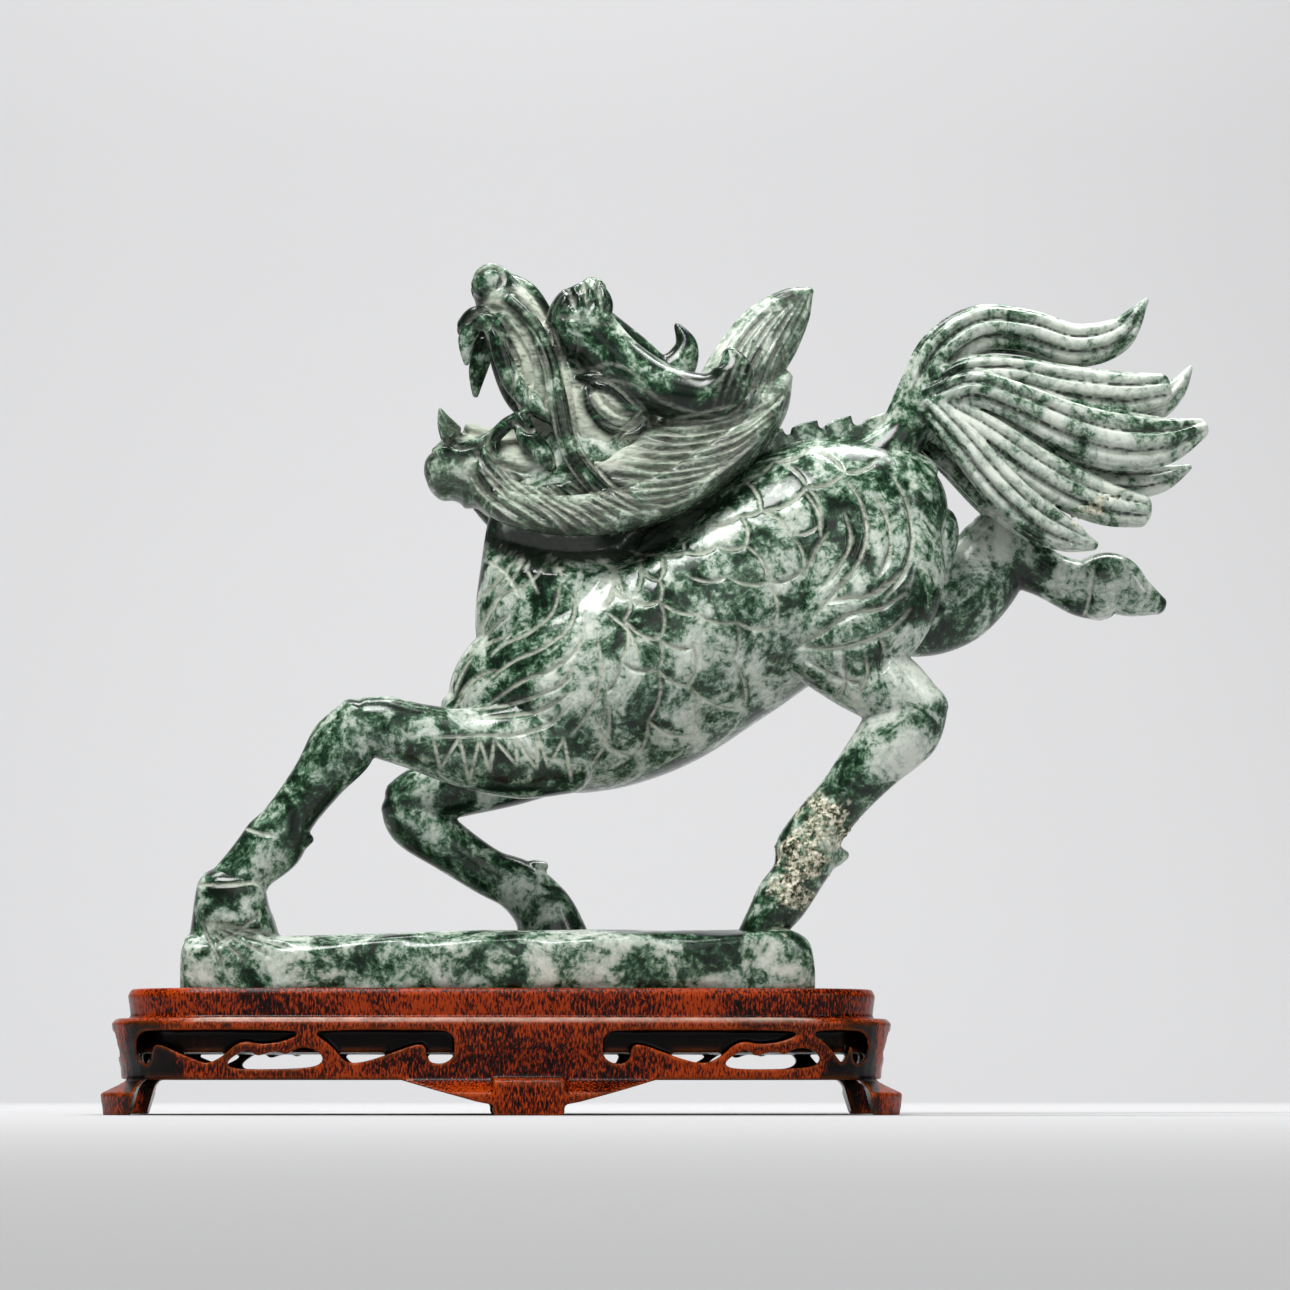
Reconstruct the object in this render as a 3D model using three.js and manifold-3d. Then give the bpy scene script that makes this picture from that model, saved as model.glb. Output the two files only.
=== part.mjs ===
// Dragon horse carved from one block of green serpentine, standing on its own rock base,
// which rests in the recess of a pierced hardwood stand. Millimetres, +Z up.
// The horse faces -X. Its side nearest to a viewer looking along +Y is at negative Y.
import * as THREE from 'three';
import { mergeVertices } from 'three/addons/utils/BufferGeometryUtils.js';
import Module from 'manifold-3d';

const wasm = await Module();
wasm.setup();

// Driving dimensions of the stone
const figureHeight = 167.5;     // top of the rock base to the tip of the nose
const drawnHeight = 167.5;      // the height at which the stations below are true millimetres
const rockLength = 155;
const rockDepth = 54;
const rockMiddle = -1;          // the rock's middle, from the stand's middle
const rockHeight = 17.5;        // underside of the rock to its top, where the hooves stand

// Driving dimensions of the wooden stand
const trayLength = 182;
const trayDepth = 84;
const trayRimHeight = 7.1;      // the upper step, above the ledge
const trayCornerRadius = 22;
const recessDepth = 3;
const recessClearance = 0.8;    // all round the rock
const ledgeWidth = 4;           // how far the apron stands out beyond the upper step
const apronHeight = 14.8;       // ledge down to the underside of the rail
const apronWall = 5;
const deckThickness = 3;        // wood left above the piercings, below the ledge's top
const panelGap = 1;             // between the panel and the apron's wall
const panelThickness = 5.3;     // the inner panel under the deck, which closes the upper part of the piercings
const railHeight = 3.8;         // the apron's lower rail, under the piercings
const footHeight = 8.5;         // floor to the underside of the rail
const cornerFootLength = 5;     // along the long side
const cornerFootDepth = 17;     // along the short side
const centreFootWidth = 17;
const centreFootProud = 3.5;    // how far the centre foot stands out of the apron
const toeHeight = 6;
const toeProud = 3.4;
const cuspHalfWidth = 31;       // the drop in the middle of the long apron
const cuspClear = 0.8;          // its lowest point, above the floor
const middleShift = 6;          // the carved middle lies this far to the right of the stand's middle
const slotGapToCentre = 17.6;   // plain wood left each side of the carved middle
const slotInset = 7;            // plain wood left at each end of the long apron
const postWidth = 4;            // wood between the two slots of a short end
const cloudMiddle = 59.5;       // from the stand's middle to each cloud scroll, before cloudShift
const cloudShift = 5;
const cloudHalfLength = 12;
const innerHookLength = 7;      // from the end of a slot to the tip of the hook in it
const outerHookLength = 4.2;

// What follows from them
const ledgeTop = footHeight + apronHeight;
const trayTop = ledgeTop + trayRimHeight;
const rockSeat = trayTop - recessDepth;
const rockTop = rockSeat + rockHeight;
const apronHalfLength = trayLength / 2 + ledgeWidth;
const apronHalfDepth = trayDepth / 2 + ledgeWidth;
const apronCornerRadius = trayCornerRadius + ledgeWidth;
const unit = figureHeight / drawnHeight;
const beyond = 2;               // how far a cutter runs past what it cuts
const drawnHalfLength = 95;     // the half length of the apron at which the piercings are true millimetres
const recessCornerRadius = 5;
const hookSlopes = { outerLeft: 12, inner: 15, outerRight: 2 };  // how far each hook's back runs down
const shortestEdge = 1.25;      // facets of the stone are not finer than this

// Solids from three.js geometry and back
function solidOf(geometry) {
  const bare = new THREE.BufferGeometry().setAttribute(
    'position', geometry.index ? geometry.toNonIndexed().getAttribute('position') : geometry.getAttribute('position'));
  const merged = mergeVertices(bare, 1e-4);
  return new wasm.Manifold(new wasm.Mesh({
    numProp: 3,
    vertProperties: new Float32Array(merged.attributes.position.array),
    triVerts: new Uint32Array(merged.index.array),
  }));
}

function geometryOf(solid) {
  const mesh = solid.getMesh();
  const geometry = new THREE.BufferGeometry();
  geometry.setAttribute('position', new THREE.BufferAttribute(new Float32Array(mesh.vertProperties), 3));
  geometry.setIndex(new THREE.BufferAttribute(new Uint32Array(mesh.triVerts), 1));
  geometry.computeVertexNormals();
  return geometry;
}

const joined = (solids) => solids.reduce((whole, piece) => whole.add(piece));

// Stone is solid all through, so pockets shut in between overlapping forms are filled
const filled = (solid) => joined(solid.decompose().filter((shell) => shell.volume() > 0));

// Overlapping forms leave slivers where their skins cross. Corners closer together than shortest
// are drawn into one, wherever the skin stays closed and no face there turns over.
function withoutSlivers(solid, shortest) {
  const mesh = solid.getMesh();
  const points = Array.from({ length: mesh.vertProperties.length / mesh.numProp },
    (_, i) => new THREE.Vector3().fromArray(mesh.vertProperties, i * mesh.numProp));
  const faces = new Set(Array.from({ length: mesh.triVerts.length / 3 },
    (_, i) => Array.from(mesh.triVerts.subarray(3 * i, 3 * i + 3))));
  const facesAt = points.map(() => new Set());
  faces.forEach((face) => face.forEach((corner) => facesAt[corner].add(face)));
  const neighboursOf = (corner) => new Set([...facesAt[corner]].flat().filter((other) => other !== corner));
  const normalOf = (face) => {
    const [a, b, c] = face.map((corner) => points[corner]);
    return b.clone().sub(a).cross(c.clone().sub(a));
  };
  const drawTogether = (kept, gone) => {
    const shared = [...neighboursOf(kept)].filter((corner) => neighboursOf(gone).has(corner));
    if (shared.length !== 2) return false;
    const moved = [...facesAt[kept], ...facesAt[gone]].filter((face) => !(face.includes(kept) && face.includes(gone)));
    const before = moved.map(normalOf);
    const places = [points[kept], points[gone]];
    const middle = places[0].clone().lerp(places[1], 0.5);
    [points[kept], points[gone]] = [middle, middle];
    const turnsOver = moved.some((face, i) => {
      const after = normalOf(face);
      return before[i].length() > 1e-3 && after.dot(before[i]) < 0.5 * after.length() * before[i].length();
    });
    if (turnsOver) {
      [points[kept], points[gone]] = places;
      return false;
    }
    facesAt[gone].forEach((face) => {
      if (face.includes(kept)) {
        faces.delete(face);
        face.forEach((corner) => facesAt[corner].delete(face));
      } else {
        face[face.indexOf(gone)] = kept;
        facesAt[kept].add(face);
      }
    });
    facesAt[gone].clear();
    return true;
  };
  let changed = true;
  while (changed) {
    const edges = [...faces].flatMap(([a, b, c]) => [[a, b], [b, c], [c, a]]).filter(([a, b]) => a < b)
      .map(([a, b]) => ({ a, b, length: points[a].distanceTo(points[b]) }))
      .filter((edge) => edge.length < shortest).sort((one, other) => one.length - other.length);
    changed = edges.filter(({ a, b }) => facesAt[a].size && facesAt[b].size && neighboursOf(a).has(b)
      && points[a].distanceTo(points[b]) < shortest && drawTogether(a, b)).length > 0;
  }
  const geometry = new THREE.BufferGeometry().setFromPoints([...faces].flat().map((corner) => points[corner]));
  return solidOf(geometry);
}

// A closed skin over rings of equally many points, with a pole point at each end
function skinOver(rings, firstPole, lastPole) {
  const count = rings[0].length;
  const positions = [];
  const face = (a, b, c) => positions.push(...a.toArray(), ...b.toArray(), ...c.toArray());
  rings.slice(1).forEach((ring, i) => {
    const before = rings[i];
    for (let k = 0; k < count; k++) {
      const next = (k + 1) % count;
      face(before[k], before[next], ring[next]);
      face(before[k], ring[next], ring[k]);
    }
  });
  for (let k = 0; k < count; k++) {
    const next = (k + 1) % count;
    face(firstPole, rings[0][next], rings[0][k]);
    face(lastPole, rings.at(-1)[k], rings.at(-1)[next]);
  }
  return new THREE.BufferGeometry().setAttribute('position', new THREE.Float32BufferAttribute(positions, 3));
}

// A limb, lock or horn: stations are [x, z, y, up, side], where up is half the thickness seen from
// the side and side is half the thickness from left to right of the animal.
// flutes cuts that many grooves along it, power above 2 makes its section squarer,
// and mirror gives the same form on the far side.
function limb(stations, { sides = 10, steps = 1, flutes = 0, fluteDepth = 0.1, power = 2, mirror = false } = {}) {
  const flip = mirror ? -1 : 1;
  const centres = stations.map(([x, z, y]) => new THREE.Vector3(x, y * flip, z).multiplyScalar(unit));
  const sizes = stations.map(([, , , up, side]) => new THREE.Vector3(up, side, 0).multiplyScalar(unit));
  const path = new THREE.CatmullRomCurve3(centres);
  const thickness = new THREE.CatmullRomCurve3(sizes, false, 'catmullrom', 0.4);
  const last = (stations.length - 1) * steps;
  const sectionAt = (t, scale, shift) => {
    const along = path.getTangent(t);
    const across = new THREE.Vector3(0, 1, 0).addScaledVector(along, -along.y).normalize();
    const up = new THREE.Vector3().crossVectors(across, along);
    const size = thickness.getPoint(t);
    const centre = path.getPoint(t).addScaledVector(along, shift * Math.min(size.x, size.y));
    return Array.from({ length: sides }, (_, k) => {
      const turn = (k / sides) * 2 * Math.PI;
      const groove = 1 - (flutes ? fluteDepth * (0.5 + 0.5 * Math.cos(turn * flutes)) : 0);
      const rounded = (v) => Math.sign(v) * Math.abs(v) ** (2 / power) * scale * groove;
      return centre.clone()
        .addScaledVector(up, rounded(Math.cos(turn)) * size.x)
        .addScaledVector(across, rounded(Math.sin(turn)) * size.y);
    });
  };
  const poleAt = (t, shift) => {
    const size = thickness.getPoint(t);
    return path.getPoint(t).addScaledVector(path.getTangent(t), shift * Math.min(size.x, size.y));
  };
  const rings = [sectionAt(0, 0.75, -0.4)];
  for (let i = 0; i <= last; i++) rings.push(sectionAt(i / last, 1, 0));
  rings.push(sectionAt(1, 0.75, 0.4));
  return solidOf(skinOver(rings, poleAt(0, -0.6), poleAt(1, 0.6)));
}

const bothSides = (stations, options = {}) => [limb(stations, options), limb(stations, { ...options, mirror: true })];

// Trunk and neck, seen from the side they are one heavy wedge that rises to the head
function trunk() {
  const barrel = [
    [109, 97, 0, 10, 8], [105, 98, 0, 18, 14], [98, 99, 0, 24, 19], [84, 95.7, 0, 28.7, 22],
    [67, 88.8, 0, 28.2, 23.5], [50, 78, 0, 28.6, 25], [32.5, 67.5, 0, 29, 25.5], [15, 60, 0, 26.5, 24.5],
    [2, 55.4, 0, 20, 20], [-6, 50, 0, 12.6, 14],
  ];
  const neck = [
    [22, 68, 0, 27, 22], [17, 80, 0, 24.5, 20], [15.5, 92, 0, 21, 17.5], [17, 103, 0, 20, 16],
    [22, 114, 0, 19, 15], [27, 124, 0, 15, 13],
  ];
  return [limb(barrel, { sides: 22, steps: 2 }), limb(neck, { sides: 16 })];
}

// Low plates stand on the spine and lean towards the tail
function spinePlates() {
  const firstX = 64;
  const pitch = 8.6;
  const rumpX = 86;
  const rumpTop = 127.4;
  const bend = 0.0055;
  const backAt = (x) => rumpTop - bend * (x - rumpX) ** 2;
  return [0.8, 1, 1.15, 1.5].map((grow, i) => {
    const x = firstX + i * pitch;
    const z = backAt(x);
    const outline = new THREE.Shape([
      [-0.6, -6], [-0.4, 0.2], [2.2, 1.4 * grow], [6.2, 2.3 * grow], [6.6, 0.3], [8.3, 0.1], [8.3, -6],
    ].map(([dx, dz]) => new THREE.Vector2((x + dx) * unit, (z + dz) * unit)));
    const thickness = 3.6 * unit;
    const plate = new THREE.ExtrudeGeometry(outline, { depth: thickness, bevelEnabled: false });
    return solidOf(plate.rotateX(Math.PI / 2).translate(0, thickness / 2, 0));
  });
}

// The legs: the near fore is stretched out, the far fore is folded, the near hind carries and the far one kicks
function legs() {
  const nearFore = [
    limb([[16, 47, -11, 13, 11], [3, 45.5, -13, 13, 10.5], [-9, 45, -15, 10, 9], [-21, 47.6, -16, 8.2, 7.6],
      [-29.6, 50, -16, 7.8, 7.2], [-34.4, 51.4, -16, 6.2, 6.4]], { sides: 10 }),
    limb([[-35, 52.4, -16, 6, 6.4], [-39.4, 45.4, -16, 8.2, 7], [-45.4, 37, -16, 6.6, 6], [-52, 28, -16, 6.1, 5.8],
      [-56, 21.6, -16, 7.7, 6.6], [-62, 15.2, -16, 6.6, 6.2], [-65, 10.6, -16, 7.4, 7]], { sides: 10 }),
    limb([[-66.4, 10.8, -16, 8.4, 8], [-66.4, 5, -15, 9.4, 9], [-65.8, -2, -13, 11, 10.5], [-65, -13, -10, 12, 12]],
      { sides: 12, power: 2.6 }),
  ];
  const farFore = [
    limb([[20, 52, 9, 14, 10], [5, 43, 12, 10, 9], [-9.4, 38.4, 14, 8.6, 8], [-20.4, 35, 15, 7.4, 7], [-25.4, 33, 15, 6, 6.4]],
      { sides: 10 }),
    limb([[-25, 33.4, 15, 6, 6], [-21.4, 28.4, 15, 7.4, 6.4], [-12.6, 21.8, 15, 6.4, 5.8], [-3.4, 15.8, 15, 6, 5.8],
      [3.6, 12.7, 15, 6.6, 6.2], [8.4, 8.6, 14.5, 7.2, 6.8], [11.4, 4, 14, 8, 7.4], [13.4, -3, 14, 9.4, 8.4]], { sides: 10 }),
  ];
  const nearHind = [
    limb([[98, 108, -7, 13, 8], [92.5, 98, -10, 19, 11], [87.5, 84, -12, 20.5, 12.5], [83, 73, -13, 17, 11.5],
      [79, 65, -13, 9, 8]], { sides: 14 }),
    limb([[80, 73, -12, 13, 10], [89, 64.5, -13, 10.6, 8.6], [98, 58.5, -13.5, 8.8, 7.6], [104, 54.5, -13.5, 6.6, 6.6]],
      { sides: 10 }),
    limb([[104, 58, -13.5, 7, 6.4], [99, 50.5, -13.5, 9.6, 7], [91, 41.5, -13.5, 7.8, 6.2], [83.5, 32.5, -13.5, 6.5, 5.8],
      [77.8, 25.5, -13.5, 6.8, 6.2], [75.2, 20, -13.5, 8, 6.8], [72.6, 13.5, -13.5, 6.5, 6.2],
      [68.5, 7.5, -13.5, 6.6, 6.2], [65, 2, -13.5, 5.6, 6], [63, -3, -13, 6, 7]], { sides: 10 }),
  ];
  const farHind = [
    limb([[92, 93, 8, 18, 12], [102.6, 84, 11, 14, 11], [113.4, 84, 13, 11.4, 9.5], [121.4, 92, 14, 11, 8.4],
      [125.4, 98.6, 14, 9.4, 7.6]], { sides: 16 }),
    limb([[122.4, 102, 14, 7, 7], [128.6, 97.6, 14, 9, 7], [137.6, 92, 14, 6.2, 6], [146.4, 88.2, 14, 7, 6.4],
      [150.6, 87.6, 14, 7.6, 6.8]], { sides: 10 }),
    limb([[150, 87.8, 14, 8.2, 7.4], [155, 89, 14, 8, 7.2], [161, 86, 14, 5.4, 6.4], [167.2, 83.6, 14, 2.2, 4]],
      { sides: 12, power: 2.6 }),
  ];
  return [...nearFore, ...farFore, ...nearHind, ...farHind];
}

// Small spurs behind the fetlocks
function spurs() {
  const spurAt = (x, z, y, dx, dz) => limb(
    [[x, z, y, 3.4, 3.6], [x + dx, z + dz, y, 2.6, 2.8], [x + 1.7 * dx, z + 1.7 * dz, y, 1.1, 1.4]], { sides: 6 });
  return [
    spurAt(-51.4, 22, -16, 2.6, 0.2), spurAt(80, 18.5, -13.5, 2.8, 0.2),
    spurAt(7, 15.2, 15, 2.4, 1.4), spurAt(153, 94, 14, 0.6, 1.4),
  ];
}

// The open-mouthed head, thrown back so that the nose points up
function head() {
  const upperJaw = limb([
    [29, 122, 0, 15, 14], [20.5, 127, 0, 15, 13.5], [13, 136.5, 0, 10.8, 12], [6.2, 147, 0, 8.2, 10],
    [1, 156, 0, 7.6, 9], [-2.6, 161.6, 0, 5.6, 7.4],
  ], { sides: 16 });
  const nostrils = bothSides([[-1, 161.5, -3.5, 4.6, 4], [-3.5, 162.6, -4.4, 4.8, 4], [-6, 161, -4.2, 3, 3]], { sides: 10 });
  const upperLip = bothSides([
    [-9.6, 151.6, -2.6, 2.4, 2.6], [-6.5, 153.4, -6, 3, 3], [-1.6, 150.6, -8, 3, 2.8], [-0.4, 143.5, -9, 2.6, 2.6],
    [2.8, 135.6, -10, 2.5, 2.4], [8.5, 129.8, -11, 2.4, 2.4], [13, 127, -12, 1.8, 1.8],
  ], { sides: 6 });
  const fangs = [
    limb([[-7.4, 152, -5.6, 2.5, 2.2], [-9.4, 147.6, -5.6, 2.1, 1.8], [-9.3, 141.6, -5.6, 0.7, 0.7]], { sides: 6 }),
    limb([[-4.5, 149, 4.6, 3, 2.4], [-6.4, 141.6, 5, 2.4, 2], [-7, 135.2, 5, 0.8, 0.8]], { sides: 6 }),
    ...bothSides([[-13, 124.5, -4.6, 2.8, 2.4], [-14.8, 127.5, -4.6, 1.8, 1.6], [-15.9, 130.4, -4.6, 0.6, 0.6]], { sides: 6 }),
  ];
  const lowerJaw = limb([
    [-15.6, 114, 0, 6.4, 6.6], [-11, 115.5, 0, 9.4, 9], [-3, 115.5, 0, 9.4, 10.6], [6, 115, 0, 10, 12],
    [16, 114, 0, 11.5, 13.5], [27, 114, 0, 12, 14],
  ], { sides: 16 });
  const jawLip = bothSides([
    [-16.6, 119.6, -4, 1.6, 2], [-10, 119.8, -8.4, 1.8, 1.8], [-3, 122.6, -10, 1.8, 1.8], [1, 126, -10.6, 1.8, 1.8],
    [5.4, 128.4, -11, 1.6, 1.6],
  ], { sides: 5 });
  const tongue = limb([[14, 124, 0, 4, 7], [4, 123.5, 0, 3, 6], [-4, 124, 0, 2.4, 5], [-9, 126.4, 0, 1.4, 3]], { sides: 10 });
  const jowl = bothSides([
    [-3.4, 121, -9.6, 2.6, 2.2], [-3.4, 114.6, -10.6, 3.2, 2.6], [0.6, 109.4, -12, 3.2, 2.8], [7, 107, -13.6, 3.2, 2.8],
    [14, 108.4, -14.8, 2.6, 2.4], [18, 111, -15, 1.4, 1.4],
  ], { sides: 6 });
  const mouthCurl = bothSides([
    [4, 128, -11, 2, 1.8], [6, 122.5, -12.4, 2.8, 2.4], [9.6, 118.4, -13.4, 2.6, 2.2], [12, 114.6, -13.8, 1.4, 1.4],
  ], { sides: 6 });
  const whiskers = bothSides([
    [1.6, 157.6, -8, 1.4, 1.6], [7, 151.4, -9.6, 1.9, 1.9], [10.8, 142.4, -11.4, 2.1, 2.1], [13, 133, -13, 2.3, 2.2],
    [14.8, 124, -14.4, 2.4, 2.3], [18.4, 115.4, -16, 2.6, 2.4], [24, 108.6, -18.4, 2.6, 2.4], [31.4, 105, -20, 1.2, 1.4],
  ], { sides: 6 });
  const eyes = bothSides([[24, 134, -11.4, 2.2, 2.4], [28, 131, -11.8, 3.6, 3.2], [32.4, 128, -11.4, 2.2, 2.4]], { sides: 10 });
  const eyelids = bothSides([
    [21.6, 136.4, -11, 1.4, 1.5], [22.6, 130.6, -12.6, 1.7, 1.6], [26.6, 126, -13.4, 1.9, 1.7], [32, 125.4, -13.2, 1.9, 1.7],
    [35, 129.4, -12, 1.7, 1.6], [30.4, 134.4, -11.6, 1.6, 1.6], [23.4, 137.6, -11, 1.2, 1.4],
  ], { sides: 5 });
  return [upperJaw, ...nostrils, ...upperLip, ...fangs, lowerJaw, ...jawLip, tongue, ...jowl, ...mouthCurl,
    ...whiskers, ...eyes, ...eyelids];
}

// Horns lie back from tufted brows
function horns() {
  const nearHorn = limb([
    [20, 151, -7, 7.4, 6.4], [28.5, 141.6, -9, 7, 6.4], [39, 134.8, -11.4, 6.6, 6.2], [49, 132.4, -13, 6.2, 6],
    [55.6, 134.6, -14.6, 5.2, 5], [57, 139.4, -15, 3.6, 3.6], [54.4, 144, -15, 0.9, 1],
  ], { sides: 10 });
  const farHorn = limb([
    [23, 153, 7, 6, 6], [32, 147, 9, 5.4, 5.4], [39.5, 141.6, 10.6, 5, 5], [44.4, 144, 11, 4.6, 4.4],
    [46.4, 149.4, 11, 3, 3], [44, 154.6, 11, 0.8, 0.9],
  ], { sides: 10 });
  const browTufts = bothSides([
    [17.6, 146, -7, 6.2, 6.4], [18.6, 152.4, -7.2, 8, 7], [21.4, 158, -6.4, 6.6, 5.8], [22.6, 161.6, -5.6, 3.2, 3.4],
  ], { sides: 12, flutes: 4, fluteDepth: 0.12 });
  const noseRidge = limb([
    [0, 163.6, 0, 2.6, 2.6], [5.6, 160.6, 0, 3, 2.8], [9.8, 154.4, 0, 3, 2.8], [12.6, 147.6, 0, 3.4, 3],
  ], { sides: 6 });
  return [nearHorn, farHorn, ...browTufts, noseRidge];
}

// Mane: a swept fan behind the cheek, a fringe under the jaw with an edge that stands off the neck,
// and one lock that stands up
function mane() {
  const fan = limb([
    [16, 108, 0, 9, 16.5], [30, 111, 0, 12.5, 19.5], [45, 117.6, 0, 12.8, 18.5], [57, 125.4, 0, 10, 15.5],
    [66, 133, 0, 6.2, 11], [71.4, 140, 0, 1.6, 4],
  ], { sides: 20, flutes: 10, fluteDepth: 0.07 });
  const fringe = limb([
    [-8, 112.6, 0, 4, 9.4], [2, 107.4, 0, 6, 13.4], [13, 104.6, 0, 7, 16.4], [25, 104.6, 0, 6.6, 19],
    [38, 108.4, 0, 7, 19.6], [50, 115, 0, 6.6, 17], [60, 122.4, 0, 5, 13],
  ], { sides: 16, flutes: 8, fluteDepth: 0.07 });
  const standingLock = limb([
    [50, 121, 0, 7, 12], [55.5, 133, 0, 8.6, 11.4], [61.4, 143, 0, 9, 9], [67.6, 151.6, 0, 8.2, 6.4],
    [73.6, 158.4, 0, 5, 4], [77.4, 161.8, 0, 1, 1.4],
  ], { sides: 16, flutes: 8, fluteDepth: 0.08 });
  const lowerEdge = bothSides([
    [-6, 108.6, -8, 2.4, 2], [2, 104.4, -14.6, 4.4, 4], [15, 102, -19.6, 5, 5], [30, 103.6, -21.6, 5.4, 5],
    [45, 110, -20.6, 5.4, 5], [57, 119.6, -16.6, 4.6, 4.4], [65, 128.6, -11, 3.4, 3.4], [69.6, 135.6, -5.6, 1.6, 1.6],
  ], { sides: 8 });
  return [fan, fringe, standingLock, ...lowerEdge];
}

// The tail bursts into fluted locks that stream back
function tail() {
  const lock = (stations) => limb(stations, { sides: 10, flutes: 5, fluteDepth: 0.16 });
  return [
    limb([[94, 117, 0, 9, 9], [100.5, 125, 0, 6, 7.4], [105.5, 133, 0, 6.4, 8], [111, 139.4, 0, 7, 8.6]], { sides: 10 }),
    lock([[101, 128, 0, 6, 6.6], [104.6, 137, 0, 5.6, 7.4], [110.4, 146, 0, 6.8, 8], [120, 152, 0, 6.9, 8],
      [132, 151.4, 0, 6.5, 7.2], [144, 148.2, 0, 6.2, 6.2], [155, 151, 0, 4.9, 4.4], [162.4, 160, 0, 0.8, 1]]),
    lock([[106, 134, -3, 4.4, 5], [115.6, 139.4, -5, 5.4, 5.6], [128, 139.6, -6, 5.4, 5.4], [140, 136.8, -6.4, 6.2, 5],
      [155, 135, -6.4, 6.4, 4.6], [165.4, 136, -6, 5, 3.6]]),
    lock([[112, 136, 5, 5, 5.4], [128, 136.4, 6, 5.6, 5.6], [150, 131.6, 6, 6, 5], [163, 133.2, 5, 5, 4],
      [170, 137.6, 4, 3.2, 2.8], [174, 143.4, 3, 0.7, 0.8]]),
    lock([[107, 133, -5, 5, 5], [117, 136, -8, 5.4, 5.4], [128, 132.4, -9.4, 6.2, 5.6], [140, 126.8, -10, 7.4, 5.6],
      [152, 123, -10, 8.4, 5.4], [164.4, 122.8, -9.4, 7, 4.6], [174.6, 126.2, -8.6, 3, 2.8]]),
    lock([[110, 131, 6, 5.4, 5], [124, 125, 8, 6, 5.6], [140, 118.6, 8.4, 5.8, 5.2], [155, 115, 8, 5.2, 4.4],
      [166, 115.4, 7.4, 4.2, 3.6], [174, 118.4, 7, 1, 1.2]]),
    lock([[109, 132, -6, 4, 4.4], [120.4, 125, -8.4, 5.4, 5], [132, 116.4, -9.4, 6.4, 5.2], [142, 110.4, -9.4, 6.6, 5],
      [151, 106.8, -9, 6, 4.6], [159.6, 105.2, -8.6, 4.6, 3.8]]),
    lock([[107, 132, -6, 4, 4.4], [114, 123.4, -9, 5, 5.4], [123.6, 111.4, -11, 5.8, 5.6], [132.4, 103, -11.4, 6, 5.2],
      [140.4, 98.6, -11, 4.6, 4.4], [147.4, 96.2, -10.4, 1.4, 1.6]]),
    lock([[103, 130, 4, 6, 6], [114, 121, 7, 6, 6], [125.5, 109.6, 9, 6, 5.6], [137, 100.4, 9.4, 4.6, 4.4]]),
  ];
}

// Rock base under the hooves: a rounded slab with a flat underside and a cut-back right end
function rock() {
  const half = rockLength / 2;
  const depth = rockDepth / 2;
  const sections = [
    [-1, 0.78, 0.8], [-0.95, 0.96, 0.95], [-0.6, 0.93, 0.98], [-0.15, 1, 1], [0.3, 1.02, 0.99],
    [0.7, 1.02, 0.97], [0.9, 1.06, 0.9], [0.98, 0.9, 0.8], [1, 0.55, 0.74],
  ];
  const edgeShare = [[1, 0], [1, 0.55], [0.95, 0.85], [0.82, 1], [0.4, 1.02], [-0.1, 1], [-0.5, 1.02], [-0.82, 1], [-0.95, 0.85],
    [-1, 0.55], [-1, 0]];
  const rings = sections.map(([share, high, wide]) => edgeShare.map(([y, z]) => new THREE.Vector3(
    rockMiddle + share * half, y * wide * depth, rockSeat + z * high * rockHeight)));
  const middle = (ring) => ring.reduce((sum, p) => sum.add(p), new THREE.Vector3()).divideScalar(ring.length);
  return solidOf(skinOver(rings, middle(rings[0]), middle(rings.at(-1))));
}

function carving() {
  const figure = joined([...trunk(), ...spinePlates(), ...legs(), ...spurs(), ...head(), ...horns(), ...mane(), ...tail()]);
  const belowTop = rockSeat - rockTop;
  const cut = new THREE.BoxGeometry(2 * rockLength, 2 * rockLength, rockLength);
  cut.translate(0, 0, belowTop - rockLength / 2);
  const standing = figure.subtract(solidOf(cut)).translate([0, 0, rockTop]);
  return withoutSlivers(filled(standing.add(rock())), shortestEdge);
}

// Outline of a box with round corners, as points
function roundedOutline(halfLength, halfDepth, radius) {
  const outline = new THREE.Shape();
  outline.absarc(halfLength - radius, halfDepth - radius, radius, 0, Math.PI / 2);
  outline.absarc(radius - halfLength, halfDepth - radius, radius, Math.PI / 2, Math.PI);
  outline.absarc(radius - halfLength, radius - halfDepth, radius, Math.PI, 1.5 * Math.PI);
  outline.absarc(halfLength - radius, radius - halfDepth, radius, 1.5 * Math.PI, 2 * Math.PI);
  return outline.getPoints(3);
}

// A solid through rounded outlines at several heights: levels are [height, growth outwards]
function turnedBox(halfLength, halfDepth, radius, levels) {
  const rings = levels.map(([z, grow]) => roundedOutline(halfLength + grow, halfDepth + grow, radius + grow)
    .map((p) => new THREE.Vector3(p.x, p.y, z)));
  return solidOf(skinOver(rings, new THREE.Vector3(0, 0, levels[0][0]), new THREE.Vector3(0, 0, levels.at(-1)[0])));
}

// A cutter with its outline drawn as seen from the front and running right through from front to back,
// or from end to end if along is 'x'
function throughCut(shape, along = 'y') {
  const reach = 4 * apronHalfLength;
  const cutter = new THREE.ExtrudeGeometry(shape, { depth: reach, bevelEnabled: false, curveSegments: 2 });
  cutter.rotateX(Math.PI / 2).translate(0, reach / 2, 0);
  if (along === 'x') cutter.rotateZ(Math.PI / 2);
  return solidOf(cutter);
}

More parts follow.
